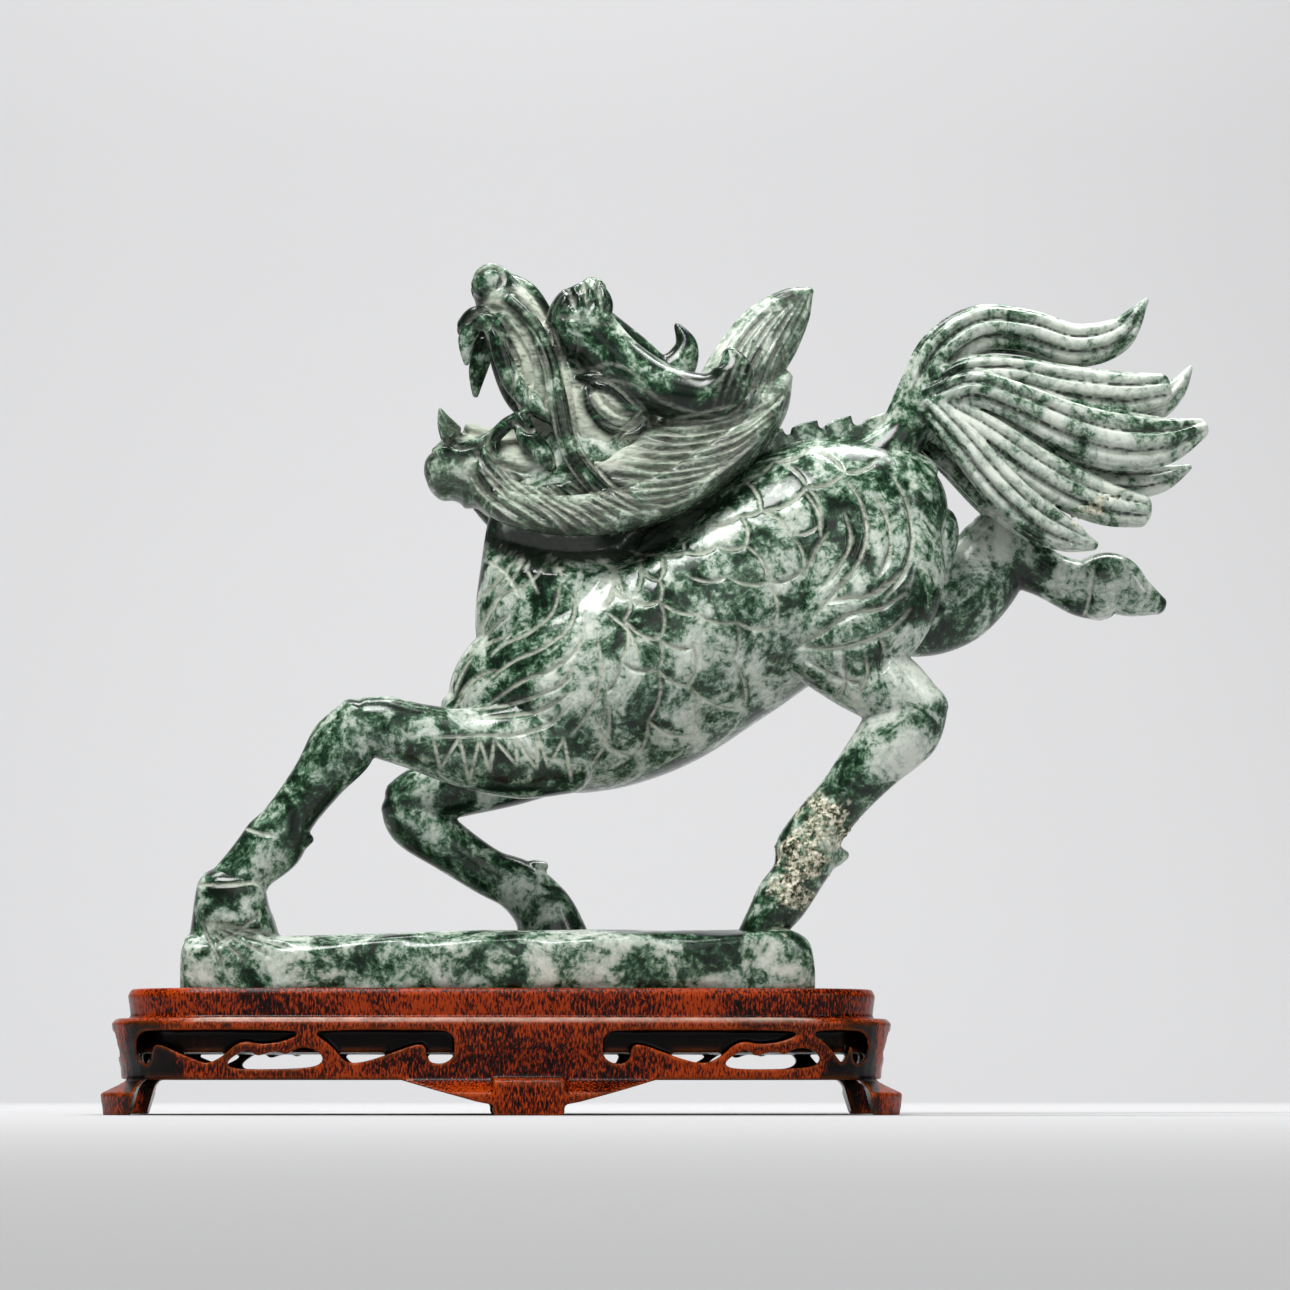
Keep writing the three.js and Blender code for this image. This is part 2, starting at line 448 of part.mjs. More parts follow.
// One end of a long slot, with a hook rising into it from the rail: from the valley round to the top edge.
// inward is 1 where the slot runs on towards +X and -1 where it runs on towards -X, and slope is the length
// over which the hook's back comes down to the valley.
function hookedEnd(end, inward, hookLength, slope) {
  const rail = footHeight + railHeight;
  const top = ledgeTop - deckThickness;
  return [
    [hookLength + slope, rail + 0.2], [hookLength + 0.5 * slope, rail + 2.7], [hookLength + 0.2 * slope, rail + 4.4],
    [hookLength, rail + 4.6],
    [hookLength - 0.4, rail + 0.5], [0.5 * hookLength, rail - 0.2], [0.8, rail + 0.9], [0, rail + 3],
    [0.2, top - 2], [1.4, top - 0.5], [3.6, top],
  ].map(([inset, z]) => [end + inward * inset, z]);
}

// Piercings of one half of a long apron: two hooked slots with a closed cloud between them
function piercings(side) {
  const rail = footHeight + railHeight;
  const top = ledgeTop - deckThickness;
  const cloud = side * cloudMiddle + cloudShift;
  const inner = middleShift + side * slotGapToCentre;
  const outer = side * (drawnHalfLength - slotInset);
  const stretch = (side * (apronHalfLength - slotInset) - inner) / (outer - inner);
  const left = side < 0
    ? hookedEnd(outer, 1, outerHookLength, hookSlopes.outerLeft)
    : hookedEnd(inner, 1, innerHookLength, hookSlopes.inner);
  const right = side < 0
    ? hookedEnd(inner, -1, innerHookLength, hookSlopes.inner)
    : hookedEnd(outer, -1, outerHookLength, hookSlopes.outerRight);
  const overLeftOfCloud = [
    [5, top], [5.6, top - 1.2], [4, top - 2], [0.8, top - 3], [-3.7, top - 3.4], [-7, top - 2.6], [-9.6, top - 3.6],
    [-12, rail + 2], [-15.3, rail + 0.2],
  ];
  const overRightOfCloud = [[10.5, top], [9.6, top - 1.2], [12, top - 2.6], [14.6, rail + 3], [16.6, rail + 0.2]];
  const cloudHole = [
    [-cloudHalfLength, rail - 0.4], [-0.85 * cloudHalfLength, rail + 1.6], [-0.6 * cloudHalfLength, rail + 3.2],
    [-0.45 * cloudHalfLength, rail + 3], [-0.36 * cloudHalfLength, rail + 1.6], [-0.1 * cloudHalfLength, rail + 2.8],
    [0.12 * cloudHalfLength, rail + 2.8], [0.22 * cloudHalfLength, rail + 1.9], [0.42 * cloudHalfLength, rail + 3.7],
    [0.75 * cloudHalfLength, rail + 3.7], [0.98 * cloudHalfLength, rail + 1.6], [0.9 * cloudHalfLength, rail - 0.4],
    [0.5 * cloudHalfLength, rail - 1.2], [-0.7 * cloudHalfLength, rail - 1.4],
  ];
  const nextToCloud = (points) => points.map(([dx, z]) => [cloud + dx, z]);
  return [
    [...left, ...nextToCloud(overLeftOfCloud)],
    [...right, ...nextToCloud(overRightOfCloud)],
    nextToCloud(cloudHole),
  ].map((points) => throughCut(new THREE.Shape(points.map(
    ([x, z]) => new THREE.Vector2(inner + (x - inner) * stretch, z)))));
}

// One pair of slots in each short end
function endPiercings() {
  const top = ledgeTop - deckThickness;
  const bottom = footHeight + railHeight;
  const outer = apronHalfDepth - apronCornerRadius + 6;
  return [-1, 1].map((side) => {
    const slot = new THREE.Shape([
      [postWidth / 2, bottom + 1], [postWidth / 2, top - 1.4], [4, top], [outer - 2, top], [outer, top - 2],
      [outer, bottom + 3], [outer - 3, bottom + 1.6], [outer / 2, bottom],
    ].map(([y, z]) => new THREE.Vector2(side * y, z)));
    return throughCut(slot, 'x');
  });
}

// The openings between the feet, below the rail. On the long side a cusped drop is left in the middle.
function footOpenings() {
  const reach = apronHalfLength - cornerFootLength;
  const cusp = [[-1, 1], [-0.72, 0.7], [-0.4, 0.38], [0, cuspClear / footHeight], [0.4, 0.38], [0.72, 0.7], [1, 1]]
    .map(([across, high]) => [middleShift + across * cuspHalfWidth, high * footHeight]);
  const under = new THREE.Shape([
    [-reach, -beyond], [-reach + 2.6, footHeight - 1.5], [-reach + 4, footHeight], ...cusp,
    [reach - 4, footHeight], [reach - 2.6, footHeight - 1.5], [reach, -beyond],
  ].map(([x, z]) => new THREE.Vector2(x, z)));
  const endReach = apronHalfDepth - cornerFootDepth;
  const underEnd = new THREE.Shape([
    [-endReach, -beyond], [-endReach, footHeight - 1.5], [-endReach + 2, footHeight],
    [endReach - 2, footHeight], [endReach, footHeight - 1.5], [endReach, -beyond],
  ].map(([x, z]) => new THREE.Vector2(x, z)));
  return [throughCut(under), throughCut(underEnd, 'x')];
}

function centreFeet() {
  const outerFace = apronHalfDepth + centreFootProud;
  const deep = apronWall + centreFootProud;
  return [-1, 1].map((side) => {
    const profile = new THREE.Shape([
      [outerFace - deep, 0], [outerFace, 0], [outerFace, footHeight - 1.6], [outerFace - 1.4, footHeight + 0.4],
      [outerFace - deep, footHeight + 0.4],
    ].map(([y, z]) => new THREE.Vector2(side * y, z)));
    const foot = new THREE.ExtrudeGeometry(profile, { depth: centreFootWidth, bevelEnabled: false });
    foot.rotateX(Math.PI / 2).translate(0, centreFootWidth / 2, 0).rotateZ(Math.PI / 2);
    foot.translate(middleShift, 0, 0);
    return solidOf(foot);
  });
}

function stand() {
  const apron = turnedBox(apronHalfLength, apronHalfDepth, apronCornerRadius, [
    [0, toeProud - 0.6], [toeHeight - 0.8, toeProud], [toeHeight, toeProud - 1.4], [footHeight, -2.4],
    [footHeight + 3, -2.2], [ledgeTop - 6, -0.6], [ledgeTop - 1.2, 0], [ledgeTop, -1],
  ]);
  const inside = turnedBox(apronHalfLength - apronWall, apronHalfDepth - apronWall, apronCornerRadius - apronWall, [
    [-beyond, -2.4], [footHeight, -2.4], [ledgeTop - deckThickness, 0],
  ]);
  const upperStep = turnedBox(trayLength / 2, trayDepth / 2, trayCornerRadius, [
    [ledgeTop - 1, -0.8], [ledgeTop + 1, -0.6], [trayTop - 1.6, 0], [trayTop, -0.8],
  ]);
  const recess = turnedBox(rockLength / 2 + recessClearance, rockDepth / 2 + recessClearance, recessCornerRadius, [
    [rockSeat, 0], [trayTop + beyond, 0],
  ]).translate([rockMiddle, 0, 0]);
  const underPanel = ledgeTop - deckThickness - panelThickness;
  const panelInset = apronWall + panelGap;
  const panel = turnedBox(apronHalfLength - panelInset, apronHalfDepth - panelInset, apronCornerRadius - panelInset, [
    [underPanel, 0], [ledgeTop - deckThickness / 2, 0],
  ]);
  const cuts = [inside, ...piercings(-1), ...piercings(1), ...endPiercings(), ...footOpenings()];
  const pierced = cuts.reduce((wood, cut) => wood.subtract(cut), apron);
  return joined([pierced, panel, upperStep]).subtract(recess).add(joined(centreFeet()));
}

const model = new THREE.Group();
const addPiece = (name, solid, material) => {
  const mesh = new THREE.Mesh(geometryOf(solid), material);
  mesh.name = name;
  model.add(mesh);
};
addPiece('carving', carving(), new THREE.MeshStandardMaterial({ color: '#5f8471', roughness: 0.28, metalness: 0 }));
addPiece('stand', stand(), new THREE.MeshStandardMaterial({ color: '#74200c', roughness: 0.38, metalness: 0 }));

// The origin is the middle of the underside of the whole object
const outer = new THREE.Box3().setFromObject(model);
model.position.set(-(outer.min.x + outer.max.x) / 2, -(outer.min.y + outer.max.y) / 2, -outer.min.z);

export default model;
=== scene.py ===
import bpy
import math
import random
import numpy as np
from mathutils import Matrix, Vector


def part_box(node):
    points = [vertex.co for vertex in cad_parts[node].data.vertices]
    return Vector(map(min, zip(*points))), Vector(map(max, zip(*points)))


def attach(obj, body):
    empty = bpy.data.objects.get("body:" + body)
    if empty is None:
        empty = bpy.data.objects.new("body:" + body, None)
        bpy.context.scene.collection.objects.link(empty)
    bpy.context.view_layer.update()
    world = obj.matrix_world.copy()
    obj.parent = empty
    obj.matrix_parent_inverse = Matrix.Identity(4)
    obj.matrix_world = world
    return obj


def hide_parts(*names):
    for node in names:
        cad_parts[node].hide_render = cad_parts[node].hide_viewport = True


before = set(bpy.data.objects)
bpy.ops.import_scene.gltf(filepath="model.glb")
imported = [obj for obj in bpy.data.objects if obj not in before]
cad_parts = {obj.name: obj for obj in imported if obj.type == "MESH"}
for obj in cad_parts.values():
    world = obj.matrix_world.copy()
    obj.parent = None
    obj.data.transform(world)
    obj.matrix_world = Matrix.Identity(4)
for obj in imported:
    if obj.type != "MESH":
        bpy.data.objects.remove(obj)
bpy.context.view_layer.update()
random.seed(7)

# The stations below are millimetres from the middle of the stand, heights from the top of the rock base
rockHeight = 17.5
carvingLow, carvingHigh = (Vector(corner) * 1000 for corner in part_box("carving"))
standLow, standHigh = (Vector(corner) * 1000 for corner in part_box("stand"))
standMiddleX = (standLow.x + standHigh.x) / 2
rockTopZ = carvingLow.z + rockHeight


def place(x, y, z):
    return Vector((x + standMiddleX, y, z + rockTopZ))


# Mesh helpers

def selectOnly(piece):
    if bpy.context.object and bpy.context.object.mode != "OBJECT":
        bpy.ops.object.mode_set(mode="OBJECT")
    bpy.ops.object.select_all(action="DESELECT")
    piece.select_set(True)
    bpy.context.view_layer.objects.active = piece


def meshPiece(name, points, faces):
    mesh = bpy.data.meshes.new(name)
    mesh.from_pydata([tuple(p) for p in points], [], faces)
    piece = bpy.data.objects.new(name, mesh)
    bpy.context.collection.objects.link(piece)
    return piece


def loft(name, rings):
    # rings with equally many points, joined one to the next and closed at both ends
    n = len(rings[0])
    last = (len(rings) - 1) * n
    faces = [(i + k, i + (k + 1) % n, i + n + (k + 1) % n, i + n + k)
             for i in range(0, last, n) for k in range(n)]
    faces += [tuple(reversed(range(n))), tuple(last + k for k in range(n))]
    return meshPiece(name, [p for ring in rings for p in ring], faces)


def joinAll(pieces, name):
    selectOnly(pieces[0])
    for piece in pieces:
        piece.select_set(True)
    bpy.ops.object.join()
    whole = bpy.context.object
    whole.name = name
    whole.data.name = name
    return whole


def applyModifier(piece, kind, **settings):
    selectOnly(piece)
    modifier = piece.modifiers.new(kind.title(), kind)
    for key, value in settings.items():
        setattr(modifier, key, value)
    bpy.ops.object.modifier_apply(modifier=modifier.name)


def melt(piece, voxel):
    # one closed skin over all the joined forms, then softened as by hand polishing
    applyModifier(piece, "REMESH", mode="VOXEL", voxel_size=voxel / 1000, adaptivity=0)
    applyModifier(piece, "SMOOTH", factor=0.5, iterations=3)


def thinOut(piece, mostTriangles):
    triangles = sum(len(polygon.vertices) - 2 for polygon in piece.data.polygons)
    if triangles > mostTriangles:
        applyModifier(piece, "DECIMATE", ratio=mostTriangles / triangles)
    piece.data.validate()
    selectOnly(piece)
    bpy.ops.object.shade_smooth()
    print(piece.name, "thinned from", triangles, "to", len(piece.data.polygons))


def curveAt(values, t):
    # a smooth curve through all the values, t runs from 0 to 1
    last = len(values) - 1
    s = min(max(t, 0.0), 1.0) * last
    i = min(int(s), last - 1)
    u = s - i
    a, b, c, d = (values[min(max(i + k, 0), last)] for k in (-1, 0, 1, 2))
    return [0.5 * (2 * q + (r - p) * u + (2 * p - 5 * q + 4 * r - w) * u * u
                   + (3 * q - p - 3 * r + w) * u ** 3) for p, q, r, w in zip(a, b, c, d)]


def bulged(value, power):
    return math.copysign(abs(value) ** power, value)


limbEnd = {"rings": 5, "reach": 0.62, "tip": 0.03, "flat": 0.9}


def limb(stations, sides=40, steps=9, flutes=0, fluteDepth=0.1, power=2, flip=1, twist=0.0):
    # stations are (x, z, y, half thickness seen from the side, half thickness across the animal)
    # flip is -1 for the same form on the other side, and a power above 2 makes the section squarer
    last = (len(stations) - 1) * steps
    capRings, reach, tip = limbEnd["rings"], limbEnd["reach"], limbEnd["tip"]

    def section(t, scale, shift):
        x, z, y, up, side = curveAt(stations, t)
        ahead = curveAt(stations, min(t + 0.01, 1))
        behind = curveAt(stations, max(t - 0.01, 0))
        sideways = (ahead[2] - behind[2]) * flip
        along = Vector((ahead[0] - behind[0], sideways, ahead[1] - behind[1])).normalized()
        across = (Vector((0, 1, 0)) - along * along.y).normalized()
        upward = across.cross(along)
        centre = Vector((x, y * flip, z)) + along * shift * min(up, side)
        ring = []
        for k in range(sides):
            turn = 2 * math.pi * k / sides
            wave = math.cos((turn + twist * t) * flutes)
            groove = 1 - (fluteDepth * (0.5 + 0.5 * wave) ** 3 if flutes else 0)
            c = bulged(math.cos(turn), 2 / power) * scale * groove
            s = bulged(math.sin(turn), 2 / power) * scale * groove
            ring.append(place(*(centre + upward * c * up + across * s * side)) / 1000)
        return ring

    rings = []
    for k in range(1, capRings + 1):
        turn = 0.5 * math.pi * (1 - k / capRings)
        rings.append(section(0, max(math.cos(turn), tip), -reach * math.sin(turn)))
    for i in range(1, last):
        rings.append(section(i / last, 1, 0))
    for k in range(capRings):
        turn = 0.5 * math.pi * k / (capRings - limbEnd["flat"])
        rings.append(section(1, max(math.cos(turn), tip), reach * math.sin(turn)))
    return loft("limb", rings)


def bothSides(stations, **options):
    return [limb(stations, **options), limb(stations, flip=-1, **options)]


# Body: trunk, neck, legs, spine plates and the rock base
bodyForms = {
    "barrel": [
        (109, 97, 0, 10, 8), (105, 98, 0, 18, 14), (98, 99, 0, 24, 19), (84, 95.7, 0, 28.7, 22),
        (67, 88.8, 0, 28.2, 23.5), (50, 78, 0, 28.6, 25), (32.5, 67.5, 0, 29, 25.5),
        (15, 60, 0, 26.5, 24.5), (2, 55.4, 0, 20, 20), (-6, 50, 0, 12.6, 14),
    ],
    "neck": [
        (22, 68, 0, 27, 22), (17, 80, 0, 24.5, 20), (15.5, 92, 0, 21, 17.5), (17, 103, 0, 20, 16),
        (22, 114, 0, 19, 15), (27, 124, 0, 15, 13),
    ],
    "nearUpperFore": [
        (16, 47, -11, 13, 11), (3, 45.5, -13, 13, 10.5), (-9, 45, -15, 10, 9), (-21, 47.6, -16, 8.2, 7.6),
        (-29.6, 50, -16, 7.8, 7.2), (-34.4, 51.4, -16, 6.2, 6.4),
    ],
    "nearLowerFore": [
        (-35, 52.4, -16, 6, 6.4), (-39.4, 45.4, -16, 8.2, 7), (-45.4, 37, -16, 6.6, 6),
        (-52, 28, -16, 6.1, 5.8), (-56, 21.6, -16, 7.7, 6.6), (-62, 15.2, -16, 6.6, 6.2),
        (-65, 10.6, -16, 7.4, 7),
    ],
    "farUpperFore": [
        (20, 52, 9, 14, 10), (5, 43, 12, 10, 9), (-9.4, 38.4, 14, 8.6, 8), (-20.4, 35, 15, 7.4, 7),
        (-25.4, 33, 15, 6, 6.4),
    ],
    "farLowerFore": [
        (-25, 33.4, 15, 6, 6), (-21.4, 28.4, 15, 7.4, 6.4), (-12.6, 21.8, 15, 6.4, 5.8),
        (-3.4, 15.8, 15, 6, 5.8), (3.6, 12.7, 15, 6.6, 6.2), (8.4, 8.6, 14.5, 7.2, 6.8),
        (11.4, 4, 14, 8, 7.4), (13.4, -3, 14, 9.4, 8.4),
    ],
    "nearThigh": [
        (98, 108, -7, 13, 8), (92.5, 98, -10, 19, 11), (87.5, 84, -12, 20.5, 12.5),
        (83, 73, -13, 17, 11.5), (79, 65, -13, 9, 8),
    ],
    "nearShin": [
        (80, 73, -12, 13, 10), (89, 64.5, -13, 10.6, 8.6), (98, 58.5, -13.5, 8.8, 7.6),
        (104, 54.5, -13.5, 6.6, 6.6),
    ],
    "nearCannon": [
        (104, 58, -13.5, 7, 6.4), (99, 50.5, -13.5, 9.6, 7), (91, 41.5, -13.5, 7.8, 6.2),
        (83.5, 32.5, -13.5, 6.5, 5.8), (77.8, 25.5, -13.5, 6.8, 6.2), (75.2, 20, -13.5, 8, 6.8),
        (72.6, 13.5, -13.5, 6.5, 6.2), (68.5, 7.5, -13.5, 6.6, 6.2), (65, 2, -13.5, 5.6, 6),
        (63, -3, -13, 6, 7),
    ],
    "farThigh": [
        (92, 93, 8, 18, 12), (102.6, 84, 11, 14, 11), (113.4, 84, 13, 11.4, 9.5), (121.4, 92, 14, 11, 8.4),
        (125.4, 98.6, 14, 9.4, 7.6),
    ],
    "farCannon": [
        (122.4, 102, 14, 7, 7), (128.6, 97.6, 14, 9, 7), (137.6, 92, 14, 6.2, 6),
        (146.4, 88.2, 14, 7, 6.4), (150.6, 87.6, 14, 7.6, 6.8),
    ],
}
hoofForms = {
    "nearForePillar": [
        (-66.4, 10.8, -16, 8.4, 8), (-66.4, 5, -15, 9.4, 9), (-65.8, -2, -13, 11, 10.5),
        (-65, -11.5, -10, 11.5, 11.5),
    ],
    "farHindHoof": [
        (150, 87.8, 14, 8.2, 7.4), (155, 89, 14, 8, 7.2), (161, 86, 14, 5.4, 6.4),
        (167.2, 83.6, 14, 2.2, 4),
    ],
}
# spurs of hair above the hoofs: x, z, y, and the way they point
spurs = [
    (-51.4, 22, -16, 2.6, 0.2), (80, 18.5, -13.5, 2.8, 0.2), (7, 15.2, 15, 2.4, 1.4), (153, 94, 14, 0.6, 1.4),
]
# sections are (place along the rock, share of the height, share of the depth)
rockForm = {
    "middle": -1, "halfLength": 77.5, "halfDepth": 27, "sides": 64, "steps": 4, "squareness": 0.36,
    "lump": 0.025,
    "sections": [
        (-1, 0.72, 0.76), (-0.985, 0.86, 0.86), (-0.95, 0.94, 0.95), (-0.6, 0.93, 0.98), (-0.35, 0.97, 1),
        (-0.15, 1, 1), (0.3, 1.02, 0.99), (0.7, 1.02, 0.97), (0.86, 1.05, 0.94), (0.93, 1.03, 0.88),
        (0.985, 0.86, 0.8), (1, 0.5, 0.74),
    ],
}
plateForm = {
    "firstX": 64, "pitch": 8.6, "crestX": 86, "crestZ": 127.4, "fall": 0.0055, "halfWidth": 1.9,
    "heights": [0.8, 1, 1.15, 1.5],
}


def rockBase():
    v = rockForm
    rings = []
    last = (len(v["sections"]) - 1) * v["steps"]
    for i in range(last + 1):
        share, high, wide = curveAt(v["sections"], i / last)
        ring = []
        for k in range(v["sides"]):
            turn = 2 * math.pi * k / v["sides"]
            c = bulged(math.cos(turn), v["squareness"])
            s = bulged(math.sin(turn), v["squareness"])
            lump = 1 + v["lump"] * math.sin(5 * turn + 9 * share) * math.sin(7 * share + turn)
            x = standMiddleX + v["middle"] + share * v["halfLength"]
            y = 0.98 * c * wide * v["halfDepth"] * lump
            z = carvingLow.z + rockHeight * high * (0.5 + 0.5 * s * (lump if s > 0 else 1))
            ring.append(Vector((x, y, max(z, carvingLow.z))) / 1000)
        rings.append(ring)
    return loft("rock", rings)


def spinePlates():
    v = plateForm
    plates = []
    for i, grow in enumerate(v["heights"]):
        x = v["firstX"] + i * v["pitch"]
        z = v["crestZ"] - v["fall"] * (x - v["crestX"]) ** 2
        outline = [(-0.6, -6), (-0.4, 0.2), (2.2, 1.4 * grow), (6.2, 2.3 * grow), (6.6, 0.3), (8.3, 0.1),
                   (8.3, -6)]
        plates.append(loft("plate", [[place(x + dx, y, z + dz) / 1000 for dx, dz in outline]
                                     for y in (v["halfWidth"], -v["halfWidth"])]))
    return plates


# Head, horns and mane
headForms = {
    "upperJaw": [
        (29, 122, 0, 15, 14), (20.5, 127, 0, 15, 13.5), (13, 136.5, 0, 10.8, 12), (6.2, 147, 0, 8.2, 10),
        (1, 156, 0, 7.6, 9), (-2.6, 161.6, 0, 5.6, 7.4),
    ],
    "lowerJaw": [
        (-15.6, 114, 0, 6.4, 6.6), (-11, 115.5, 0, 9.4, 9), (-3, 115.5, 0, 9.4, 10.6), (6, 115, 0, 10, 12),
        (16, 114, 0, 11.5, 13.5), (27, 114, 0, 12, 14),
    ],
    "tongue": [(14, 124, 0, 4, 7), (4, 123.5, 0, 3, 6), (-4, 124, 0, 2.4, 5), (-9, 126.4, 0, 1.4, 3)],
}
pairedForms = {
    "nostril": [(-1, 161.5, -3.5, 4.6, 4), (-3.5, 162.6, -4.4, 4.8, 4), (-6, 161, -4.2, 3, 3)],
    "upperLip": [
        (-9.6, 151.6, -2.6, 2.4, 2.6), (-6.5, 153.4, -6, 3, 3), (-1.6, 150.6, -8, 3, 2.8),
        (-0.4, 143.5, -9, 2.6, 2.6), (2.8, 135.6, -10, 2.5, 2.4), (8.5, 129.8, -11, 2.4, 2.4),
        (13, 127, -12, 1.8, 1.8),
    ],
    "lowerFang": [
        (-13, 124.5, -4.6, 2.8, 2.4), (-14.8, 127.5, -4.6, 1.8, 1.6), (-15.9, 130.4, -4.6, 0.6, 0.6),
    ],
    "jawLip": [
        (-16.6, 119.6, -4, 1.6, 2), (-10, 119.8, -8.4, 1.8, 1.8), (-3, 122.6, -10, 1.8, 1.8),
        (1, 126, -10.6, 1.8, 1.8), (5.4, 128.4, -11, 1.6, 1.6),
    ],
    "jowl": [
        (-3.4, 121, -9.6, 2.6, 2.2), (-3.4, 114.6, -10.6, 3.2, 2.6), (0.6, 109.4, -12, 3.2, 2.8),
        (7, 107, -13.6, 3.2, 2.8), (14, 108.4, -14.8, 2.6, 2.4), (18, 111, -15, 1.4, 1.4),
    ],
    "mouthCurl": [
        (4, 128, -11, 2, 1.8), (6, 122.5, -12.4, 2.8, 2.4), (9.6, 118.4, -13.4, 2.6, 2.2),
        (12, 114.6, -13.8, 1.4, 1.4),
    ],
    "whisker": [
        (1.6, 157.6, -8, 1.4, 1.8), (7, 151.4, -9.8, 2, 2.4), (10.8, 142.4, -11.8, 2.2, 2.6),
        (13, 133, -13.6, 2.5, 2.8), (14.8, 124, -15.2, 2.7, 2.9), (18.4, 115.4, -17, 2.8, 2.9),
        (24, 108.6, -19, 2.7, 2.7), (31.4, 105, -20, 1.2, 1.4),
    ],
    "eyeball": [(22.6, 132.6, -11.6, 2, 2.2), (26.4, 129.8, -12, 3.2, 3), (30.6, 126.8, -11.6, 2, 2.2)],
    "eyelid": [
        (20.4, 134.6, -11.4, 0.9, 1.2), (21.6, 129.4, -13, 1.1, 1.2), (25.6, 125, -13.8, 1.3, 1.3),
        (31, 123.6, -13.6, 1.4, 1.3), (34, 126.4, -12.8, 1.8, 1.6), (29.6, 132.6, -12.8, 2.4, 2.2),
        (23, 136.8, -12, 2, 2), (18.6, 137.6, -11, 0.9, 1.2),
    ],
    "browTuft": [
        (17.6, 146, -7, 6.2, 6.4), (18.6, 152.4, -7.2, 8, 7), (21.4, 158, -6.4, 6.6, 5.8),
        (22.6, 161.6, -5.6, 3.2, 3.4),
    ],
}
hornForms = {
    "nearHorn": [
        (20, 151, -7, 7.4, 6.4), (28.5, 141.6, -9, 7, 6.4), (39, 134.8, -11.4, 6.6, 6.2),
        (49, 132.4, -13, 6.2, 6), (54.6, 134.4, -14.6, 5.6, 5.2), (57, 139, -15.2, 4.9, 4.6),
        (56.2, 143.6, -15.2, 2, 2),
    ],
    "farHorn": [
        (23, 153, 7, 6, 6), (32, 147, 9, 5.4, 5.4), (39.5, 141.6, 10.6, 5, 5), (44.4, 144, 11, 4.6, 4.4),
        (46.4, 149.4, 11, 3, 3), (44, 154.6, 11, 0.8, 0.9),
    ],
}
fangForms = {
    "nearFang": [(-7.4, 152, -5.6, 2.5, 2.2), (-9.4, 147.6, -5.6, 2.1, 1.8), (-9.3, 141.6, -5.6, 0.7, 0.7)],
    "farFang": [(-4.5, 149, 4.6, 3, 2.4), (-6.4, 141.6, 5, 2.4, 2), (-7, 135.2, 5, 0.8, 0.8)],
}
noseRidge = [
    (0, 163.6, 0, 2.6, 2.6), (5.6, 160.6, 0, 3, 2.8), (9.8, 154.4, 0, 3, 2.8), (12.6, 147.6, 0, 3.4, 3),
]
maneForms = {
    "fan": [
        (16, 108, 0, 9, 16.5), (30, 111, 0, 12.5, 19.5), (45, 117.6, 0, 12.8, 18.5),
        (57, 125.4, 0, 10, 15.5), (66, 133, 0, 6.2, 11), (71.4, 140, 0, 1.6, 4),
    ],
    "fringe": [
        (-8, 112.6, 0, 4, 9.4), (2, 107.4, 0, 6, 13.4), (13, 104.6, 0, 7, 16.4), (25, 104.6, 0, 6.6, 19),
        (38, 108.4, 0, 7, 19.6), (50, 115, 0, 6.6, 17), (60, 122.4, 0, 5, 13),
    ],
    "standingLock": [
        (50, 121, 0, 7, 12), (55.5, 133, 0, 8.6, 11.4), (61.4, 143, 0, 9, 9), (67.6, 151.6, 0, 8.2, 6.4),
        (73.6, 158.4, 0, 5, 4), (77.4, 161.8, 0, 1, 1.4),
    ],
}
maneEdge = [
    (-6, 108.6, -8, 2.4, 2), (2, 104.4, -14.6, 4.4, 4), (15, 102, -19.6, 5, 5), (30, 103.6, -21.6, 5.4, 5),
    (45, 110, -20.6, 5.4, 5), (57, 119.6, -16.6, 4.6, 4.4), (65, 128.6, -11, 3.4, 3.4),
    (69.6, 135.6, -5.6, 1.6, 1.6),
]

